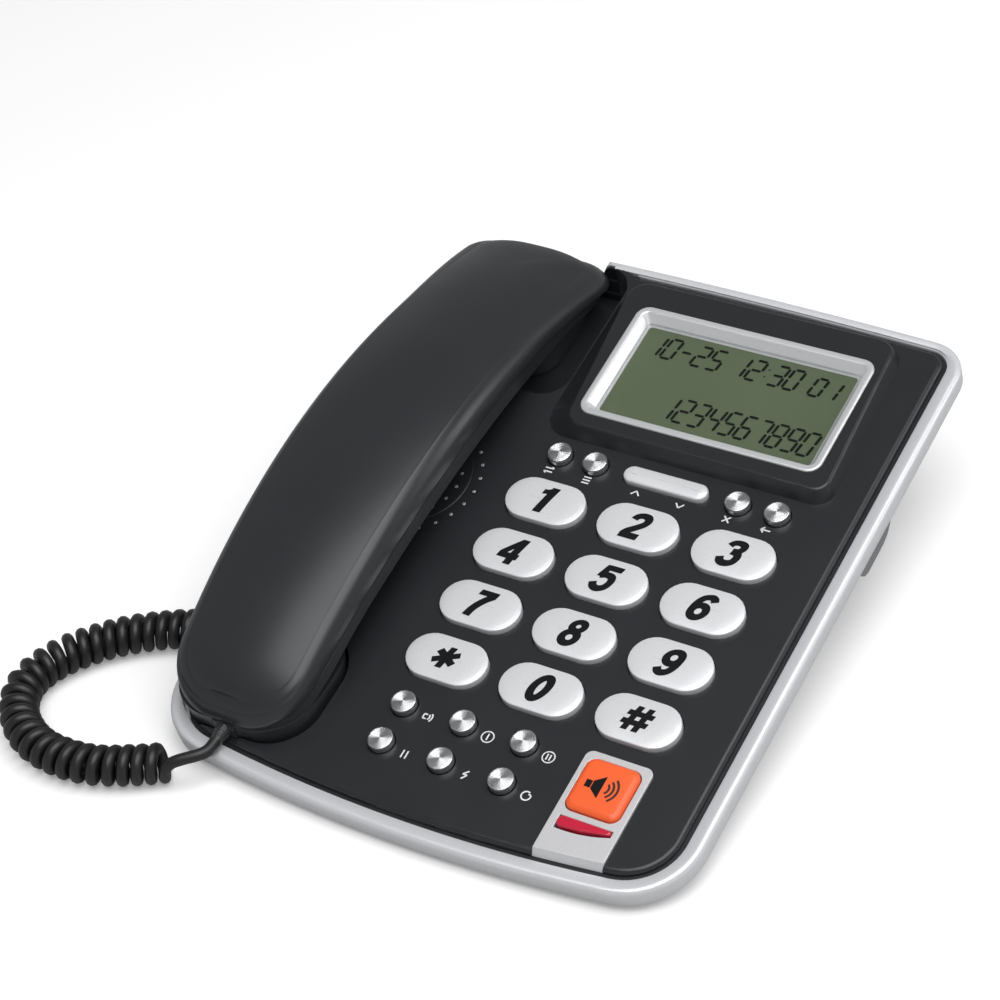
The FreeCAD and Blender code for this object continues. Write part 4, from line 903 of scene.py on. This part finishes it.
printed = {
    "stroke": 0.56, "size": 0.85, "level": 0.03,
    "places": (("swap", -16.6, 23.2), ("list", -3.4, 23.2), ("up", 13.6, 23.4), ("down", 28.6, 23.4),
               ("cross", 44.6, 23.2), ("back", 57.6, 23.2), ("sound", -7.0, -71.9), ("one", 13.4, -71.9),
               ("two", 33.6, -71.9), ("pause", -7.0, -85.8), ("flash", 13.4, -85.8), ("again", 33.6, -85.8)),
}


def printedMarks():
    mesh = bmesh.new()
    for sign, x, y in printed["places"]:
        before = len(mesh.verts)
        strokeStrips(mesh, signs[sign], 0.0, printed["size"], lambda u, v: printed["level"],
                     printed["stroke"])
        bmesh.ops.translate(mesh, vec=Vector((x, y, 0)), verts=list(mesh.verts)[before:])
    piece("printedMarks", mesh, panelFrame, "whiteInk", "base", (), 180.0, 0.00001)


print("printed marks")
printedMarks()


# Speaker grille: a sloped rim in every hole, copied to its place by a node tree; the rim's light grey is a
# painted highlight on the hole's edge

grille = {
    "centre": (-57.6, 7.8), "rings": ((3.2, 4), (9.6, 11), (16.0, 19), (22.4, 26)), "highlightRim": 0.56,
    "bore": 0.2, "proud": 0.12, "sunk": 0.06, "ribRadius": 19.2, "ribWidth": 0.8,
    "rib": ((-1.0, -0.08), (-0.6, 0.03), (-0.25, 0.09), (0.0, 0.11), (0.25, 0.09), (0.6, 0.03), (1.0, -0.08)),
}


def highlightRimTree():
    tree = bpy.data.node_groups.new("highlightRimRings", "GeometryNodeTree")
    tree.interface.new_socket("Geometry", in_out="INPUT", socket_type="NodeSocketGeometry")
    for name in ("Outer radius", "Bore radius", "Height"):
        tree.interface.new_socket(name, in_out="INPUT", socket_type="NodeSocketFloat")
    tree.interface.new_socket("Finish", in_out="INPUT", socket_type="NodeSocketMaterial")
    tree.interface.new_socket("Geometry", in_out="OUTPUT", socket_type="NodeSocketGeometry")
    start = tree.nodes.new("NodeGroupInput").outputs
    rim = newNode(tree, "GeometryNodeMeshCone", {"fill_type": "NONE"}, {
        "Vertices": 12, "Radius Top": start["Bore radius"], "Radius Bottom": start["Outer radius"],
        "Depth": start["Height"]})
    spread = newNode(tree, "GeometryNodeInstanceOnPoints", {}, {
        "Points": start["Geometry"], "Instance": rim.outputs["Mesh"]})
    real = newNode(tree, "GeometryNodeRealizeInstances", {}, {"Geometry": spread.outputs[0]})
    painted = newNode(tree, "GeometryNodeSetMaterial", {}, {
        "Geometry": real.outputs[0], "Material": start["Finish"]})
    newNode(tree, "NodeGroupOutput", {}, {0: painted.outputs[0]})
    return tree


def grilleHighlightRims():
    # the rims' slope is shape; their light grey is a painted highlight
    places = bmesh.new()
    for radius, count in grille["rings"]:
        for step in range(count):
            angle = 2 * math.pi * step / count
            places.verts.new((grille["centre"][0] + radius * math.cos(angle),
                              grille["centre"][1] + radius * math.sin(angle), -grille["sunk"]))
    thing = placed("highlightRimPlaces", meshData("highlightRimPlaces", places))
    tree = highlightRimTree()
    modifier = thing.modifiers.new("highlightRims", "NODES")
    modifier.node_group = tree
    sizes = {"Outer radius": grille["highlightRim"], "Bore radius": grille["bore"], "Height": grille["proud"],
             "Finish": finishes["highlightRim"]}
    for socket in tree.interface.items_tree:
        if socket.in_out == "INPUT" and socket.name in sizes:
            modifier[socket.identifier] = sizes[socket.name]
    mesh = bmesh.new()
    mesh.from_mesh(evaluated(thing))
    thing.modifiers.remove(modifier)
    bpy.data.objects.remove(thing)
    piece("grilleHighlightRims", mesh, panelFrame, "highlightRim", "base", (), 60.0, 0.00001)


def grilleRib():
    mesh = bmesh.new()
    half = grille["ribWidth"] / 2
    profile = [(grille["ribRadius"] + half * share, level) for share, level in grille["rib"]]
    lathe(mesh, grille["centre"], profile, 96)
    piece("grilleRib", mesh, panelFrame, "cover", "base", (), 60.0)


print("grille")
grilleHighlightRims()
grilleRib()


# Display

display = {
    "centre": (24.1, 67.5), "bezel": (82.5, 46.7), "corner": 4.5, "top": 5.3,
    "rim": ((0.0, 5.7), (0.0, 0.55), (0.06, 0.32), (0.2, 0.13), (0.42, 0.03), (0.7, 0.0), (1.9, 0.02),
            (2.15, 0.12), (2.4, 0.34)),
    "well": ((4.1, 2.55, 1.1), (4.25, 2.4, 1.0), (4.25, 1.3, 1.0), (5.0, 1.3, 1.0), (5.0, -0.4, 1.0)),
    "sheet": (73.8, 36.8), "sheetCorner": 0.5, "sheetLevel": 1.22,
}


def displayBezel():
    # the rim gives insets and how far each lies below the top, the well insets, levels and corners
    mesh = bmesh.new()
    width, length = display["bezel"]
    shape = [(inset, display["top"] - below, display["corner"] - inset) for inset, below in display["rim"]]
    rings = [rectangleLoop(display["centre"], width - 2 * inset, length - 2 * inset, corner, level, 10)
             for inset, level, corner in shape + list(display["well"])]
    rings.append(rings[0])
    skin(mesh, rings)
    piece("displayBezel", mesh, panelFrame, "bezel", "base", ("display_bezel",), 40.0)


def displaySheet():
    mesh = bmesh.new()
    flatShape(mesh, rectangleLoop(display["centre"], *display["sheet"], display["sheetCorner"],
                                  display["sheetLevel"], 4))
    piece("displaySheet", mesh, panelFrame, "olive", "base")


segmentPlaces = {
    "a": ((0.07, 1.0), (0.93, 1.0)), "b": ((1.0, 0.97), (1.0, 0.53)), "c": ((1.0, 0.47), (1.0, 0.03)),
    "d": ((0.93, 0.0), (0.07, 0.0)), "e": ((0.0, 0.03), (0.0, 0.47)), "f": ((0.0, 0.53), (0.0, 0.97)),
    "g": ((0.07, 0.5), (0.93, 0.5)),
}
segmentSets = {
    "0": "abcdef", "1": "bc", "2": "abged", "3": "abgcd", "4": "fgbc", "5": "afgcd", "6": "afgedc",
    "7": "abc", "8": "abcdefg", "9": "abcdfg", "-": "g",
}
# Each reading: its digits, its left and lower edge, a digit's width and height, and the step to the next
readings = {
    "level": 1.26, "lean": 0.16, "bar": 1.0, "over": 0.2, "shoulder": 0.8,
    "colonBar": 0.85, "colonHalf": 0.3, "colonStep": 0.45, "colonPlaces": ((0.1, 0.32), (0.1, 0.68)),
    "lines": (("10-25", -33.2, 7.6, 3.8, 8.2, 5.3), ("12:30", -3.6, 7.6, 3.8, 8.2, 5.3),
              ("01", 23.4, 7.6, 3.5, 7.2, 5.1), ("1234567890", -17.9, -15.3, 3.75, 9.2, 5.3)),
}


def bar(mesh, start, end, wide):
    # its ends are pointed, and reach a little past start and end
    along = (end - start).normalized()
    aside = Vector((-along.y, along.x)) * wide / 2
    tip = along * wide / 2
    over, shoulder = tip * readings["over"], tip * readings["shoulder"]
    points = [start - over, start + shoulder + aside, end - shoulder + aside, end + over,
              end - shoulder - aside, start + shoulder - aside]
    flatShape(mesh, [Vector((p.x, p.y, readings["level"])) for p in points])


def displayDigits():
    mesh = bmesh.new()
    half = Vector((readings["colonHalf"], 0))
    for text, left, low, wide, tall, step in readings["lines"]:
        origin = Vector(display["centre"]) + Vector((left, low))
        leaning = Matrix(((wide, tall * readings["lean"]), (0, tall)))
        for letter in text:
            if letter == ":":
                for place in readings["colonPlaces"]:
                    dot = origin + leaning @ Vector(place)
                    bar(mesh, dot - half, dot + half, readings["colonBar"])
                origin.x += step * readings["colonStep"]
                continue
            for segment in segmentSets[letter]:
                first, second = (origin + leaning @ Vector(end) for end in segmentPlaces[segment])
                bar(mesh, first, second, readings["bar"])
            origin.x += step
    piece("displayDigits", mesh, panelFrame, "segment", "base")


print("display")
displayBezel()
displaySheet()
displayDigits()


# Speaker plate, orange button and lamp

speaker = {
    "centre": (54.1, -76.9), "size": (17.1, 17.8), "corner": 3.0, "leastCorner": 0.6,
    "shape": ((0.0, -3.2), (0.0, 1.0), (0.06, 1.3), (0.22, 1.58), (0.48, 1.8), (1.15, 2.16), (1.4, 2.27),
              (1.7, 2.3), (4.0, 2.34), (7.0, 2.38)),
    "signLevel": 2.4,
    "cone": (((-5.4, -1.25), (-3.5, -1.25), (-3.5, 1.25), (-5.4, 1.25)),
             ((-3.25, -1.35), (-0.1, -3.8), (-0.1, 3.8), (-3.25, 1.35))),
    "waves": ((2.0, 52), (3.35, 52), (4.7, 50)), "waveWidth": 0.72,
}


def speakerButton():
    mesh = bmesh.new()
    width, length = speaker["size"]
    rings = [rectangleLoop(speaker["centre"], width - 2 * inset, length - 2 * inset,
                           max(speaker["corner"] - inset, speaker["leastCorner"]), level)
             for inset, level in speaker["shape"]]
    rows = skin(mesh, rings)
    mesh.faces.new(rows[-1])
    piece("speakerButton", mesh, panelFrame, "orange", "speaker_button",
          ("speaker_button",), 40.0)


def onSpeaker(points):
    x, y = speaker["centre"]
    return [Vector((x + u, y + v, speaker["signLevel"])) for u, v in points]


def speakerIcon():
    mesh = bmesh.new()
    for outline in speaker["cone"]:
        flatShape(mesh, onSpeaker(outline))
    piece("speakerIcon", mesh, panelFrame, "ink", "speaker_button")
    mesh = bmesh.new()
    half = speaker["waveWidth"] / 2
    for radius, reach in speaker["waves"]:
        edges = (radius - half, radius + half)
        skin(mesh, [onSpeaker(arcLine(0.0, 0.0, edge, -reach, reach, 12)) for edge in edges], False)
    piece("speakerWaves", mesh, panelFrame, "iconInk", "speaker_button")


lamp = {
    "outline": ((46.3, -92.0), (54.5, -91.4), (62.8, -89.75), (62.8, -88.3), (46.3, -88.3)),
    "corners": (1.5, 6.0, 0.7, 0.7, 1.4), "middle": (54.2, -89.9), "half": (8.5, 2.1),
    "shape": ((0.0, -0.8), (0.0, 1.0), (0.1, 1.25), (0.3, 1.42), (0.6, 1.5), (0.95, 1.53)),
}


def statusLamp():
    # a drop lying on its side, its thick end to the left
    mesh = bmesh.new()
    middle = lamp["middle"]
    rings = []
    for shrink, level in lamp["shape"]:
        loop = roundedLoop(lamp["outline"], lamp["corners"], level, 6)
        for point in loop:
            point.x = middle[0] + (point.x - middle[0]) * (1 - shrink / lamp["half"][0])
            point.y = middle[1] + (point.y - middle[1]) * (1 - shrink / lamp["half"][1])
        rings.append(loop)
    rows = skin(mesh, rings)
    mesh.faces.new(rows[-1])
    piece("statusLamp", mesh, panelFrame, "red", "base", ("status_lamp",), 50.0)


print("speaker plate")
speakerButton()
speakerIcon()
carried("speaker_plate", "speakerPlate", "plate", "base", 30.0, 0.18)
statusLamp()


# Curly cord

cord = {
    "wire": 3.8, "curlRadius": 4.5, "pitch": 3.94, "stepsPerTurn": 16, "sides": 10, "startTurn": 0.25,
    "wander": ((0.04, 0.09), (0.03, 0.47)), "bendSpan": 4, "merge": 0.02,
    "plugReach": 5.4, "plugLevel": 6.4, "plugDepth": 2.6,
    "start": ((-85.5, -52.0, 7.9), (-88.1, -52.0, 7.9), (-90.9, -51.9, 8.2), (-93.6, -51.8, 8.9),
              (-95.7, -52.3, 9.6), (-97.3, -53.7, 10.3), (-98.1, -55.7, 10.8)),
    "curls": ((-97.9, -57.9, 6.6), (-102.0, -59.4, 6.5), (-108.6, -62.8, 6.5), (-117.4, -68.4, 6.5),
              (-126.6, -77.4, 6.5), (-133.6, -88.0, 6.5), (-136.2, -101.4, 6.5), (-129.6, -113.4, 6.5),
              (-116.6, -121.8, 6.5), (-101.6, -123.0, 6.5), (-87.6, -119.4, 6.5), (-75.0, -111.4, 6.5)),
    "lead": ((-72.1, -114.9, 8.5), (-70.8, -113.9, 10.1), (-68.7, -112.4, 10.9), (-66.3, -110.6, 11.3),
             (-64.1, -108.9, 11.6), (-62.6, -107.1, 11.7)),
}


def routeMesh(points, resolution):
    curve = bpy.data.curves.new("route", "CURVE")
    curve.dimensions = "3D"
    spline = curve.splines.new("NURBS")
    spline.points.add(len(points) - 1)
    for place, point in zip(spline.points, points):
        place.co = (*point, 1.0)
    spline.order_u = 3
    spline.use_endpoint_u = True
    spline.resolution_u = resolution
    thing = placed("route", curve)
    data = evaluated(thing)
    found = [v.co.copy() for v in data.vertices]
    bpy.data.objects.remove(thing)
    bpy.data.meshes.remove(data)
    return found


def handsetPlugEnd():
    back = -handset["halfLength"] - cord["plugReach"]
    level = cord["plugLevel"]
    return [handsetFrame @ Vector((0, y, level)) * 1000 for y in (back - cord["plugDepth"], back)]


def curlPoints():
    # turns are spread so that they keep the pitch on the inner side of every bend
    axis = routeMesh(cord["curls"], 24)
    last = len(axis) - 1
    span = cord["bendSpan"]
    turned = [0.0]
    for index in range(1, len(axis)):
        before = axis[index] - axis[max(index - span, 0)]
        after = axis[min(index + span, last)] - axis[index]
        bend = before.angle(after, 0.0) / ((before.length + after.length) / 2)
        step = (axis[index] - axis[index - 1]).length
        turned.append(turned[-1] + step * (1 - cord["curlRadius"] * bend) / cord["pitch"])
    count = cord["stepsPerTurn"]
    total = round((math.floor(turned[-1] + cord["startTurn"]) - cord["startTurn"]) * count)
    points = []
    index = 0
    for step in range(total + 1):
        wanted = turned[-1] * step / total
        while index < last - 1 and turned[index + 1] < wanted:
            index += 1
        share = (wanted - turned[index]) / (turned[index + 1] - turned[index])
        centre = axis[index].lerp(axis[index + 1], share)
        ahead = (axis[min(index + 2, last)] - axis[max(index - 1, 0)]).normalized()
        across = ahead.cross(Vector((0, 0, 1))).normalized()
        up = across.cross(ahead)
        angle = 2 * math.pi * (step / count + cord["startTurn"])
        radius = cord["curlRadius"] + sum(reach * math.sin(step * rate) for reach, rate in cord["wander"])
        points.append(centre + (across * math.cos(angle) + up * math.sin(angle)) * radius)
    return points


def curlyCord():
    line = routeMesh([*cord["start"], *curlPoints(), *cord["lead"], *handsetPlugEnd()], 2)
    path = []
    for point in line:
        if not path or (point - path[-1]).length > cord["merge"]:
            path.append(point)
    mesh = bmesh.new()
    rings = []
    aside = Vector((0, 0, 1))
    for index, point in enumerate(path):
        ahead = (path[min(index + 1, len(path) - 1)] - path[max(index - 1, 0)]).normalized()
        aside = (aside - ahead * aside.dot(ahead)).normalized()
        other = ahead.cross(aside)
        ring = []
        for side in range(cord["sides"]):
            angle = 2 * math.pi * side / cord["sides"]
            ring.append(point + (aside * math.cos(angle) + other * math.sin(angle)) * cord["wire"] / 2)
        rings.append(ring)
    rows = skin(mesh, rings)
    mesh.faces.new(list(reversed(rows[0])))
    mesh.faces.new(rows[-1])
    thing = piece("curlyCord", mesh, millimetres, "cord", None, ("handset_cord",), 60.0, 0.0001)
    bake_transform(thing)


print("cord")
curlyCord()


# Finishes of the carried-over pieces

plain = {
    "glass": ("display_window",), "olive": ("display_panel",), "board": ("main_board",),
    "rubber": ("key_mat", "rubber_feet"), "well": ("loudspeaker", "hook_switch", "hook_plunger"),
    "socket": ("handset_jack", "line_jack", "handset_socket"), "case": ("battery_cover",),
    "clear": ("cord_plug_base", "cord_plug_handset"),
    "steel": ("case_screws", "batteries", "receiver_capsule", "microphone_capsule", "handset_weight",
              "handset_screws"),
}
for finish, named in plain.items():
    for node in named:
        data = nodes[node].data
        data.materials.clear()
        data.materials.append(finishes[finish])
        if nodes[node].material_slots:
            nodes[node].material_slots[0].material = finishes[finish]


# Floor, light and camera

# Greys are the world's brightness, from the horizon (0) to overhead (1)
studio = {
    "floor": 0.9, "floorBounce": 0.5, "floorLift": 0.2, "floorSize": 3.0,
    "greys": ((0.0, 0.42), (0.1, 0.42), (0.3, 0.38), (0.5, 0.24), (1.0, 0.15)),
    "aim": (0, 0, 0.03),
    "lamps": (("keyLamp", (0.38, -0.2, 1.28), (1.5, 1.3), 21.0),
              ("streakLamp", (0.85, 0.62, 0.42), (0.14, 0.6), 1.2)),
    "lens": 100.35, "sensor": 36.0, "clip": (0.05, 20.0),
    "cameraPlace": (0.3586, -0.537045, 0.573571), "cameraTurn": (50.6304, 6.1448, 30.2429),
}


def floorSheet():
    mesh = bmesh.new()
    bmesh.ops.create_grid(mesh, x_segments=1, y_segments=1, size=studio["floorSize"])
    thing = placed("floor", meshData("floor", mesh))
    pale = (studio["floor"],) * 3
    finish = Finish("paleFloor", pale, 0.9, Specular_IOR_Level=0.0, Emission_Strength=1.0)
    seen = finish.add("ShaderNodeLightPath", {}, {}, "Is Camera Ray")
    finish.feed("Emission Color", finish.between(seen, (0, 0, 0), (studio["floorLift"],) * 3))
    finish.feed("Base Color", finish.between(seen, (studio["floorBounce"],) * 3, pale))
    thing.data.materials.append(finish.material)


def whiteWorld():
    # pale at the horizon and darker overhead, white where the camera sees it
    world = bpy.data.worlds.new("studio")
    bpy.context.scene.world = world
    world.use_nodes = True
    tree = world.node_tree
    place = newNode(tree, "ShaderNodeTexCoord", {}, {})
    parts = newNode(tree, "ShaderNodeSeparateXYZ", {}, {0: place.outputs["Generated"]})
    ramp = newNode(tree, "ShaderNodeValToRGB", {}, {0: parts.outputs["Z"]})
    stops = ramp.color_ramp.elements
    while len(stops) < len(studio["greys"]):
        stops.new(0.5)
    for stop, (height, grey) in zip(stops, studio["greys"]):
        stop.position = height
        stop.color = (grey, grey, grey, 1)
    path = newNode(tree, "ShaderNodeLightPath", {}, {})
    choice = newNode(tree, "ShaderNodeMix", {"data_type": "RGBA"}, {
        0: path.outputs["Is Camera Ray"], 6: ramp.outputs["Color"], 7: (1, 1, 1, 1)})
    tree.links.new(choice.outputs[2], tree.nodes["Background"].inputs["Color"])


def softLamp(name, place, size, power):
    light = bpy.data.lights.new(name, "AREA")
    light.shape = "RECTANGLE"
    light.size, light.size_y = size
    light.energy = power
    thing = placed(name, light)
    thing.location = place
    thing.rotation_euler = (Vector(studio["aim"]) - Vector(place)).to_track_quat("-Z", "Y").to_euler()


def photoCamera():
    camera = bpy.data.cameras.new("camera")
    camera.lens = studio["lens"]
    camera.sensor_width = studio["sensor"]
    camera.clip_start, camera.clip_end = studio["clip"]
    thing = placed("camera", camera)
    thing.location = studio["cameraPlace"]
    thing.rotation_euler = [math.radians(a) for a in studio["cameraTurn"]]
    bpy.context.scene.camera = thing


print("studio")
floorSheet()
whiteWorld()
for settings in studio["lamps"]:
    softLamp(*settings)
photoCamera()
bpy.context.scene.view_settings.view_transform = "Standard"
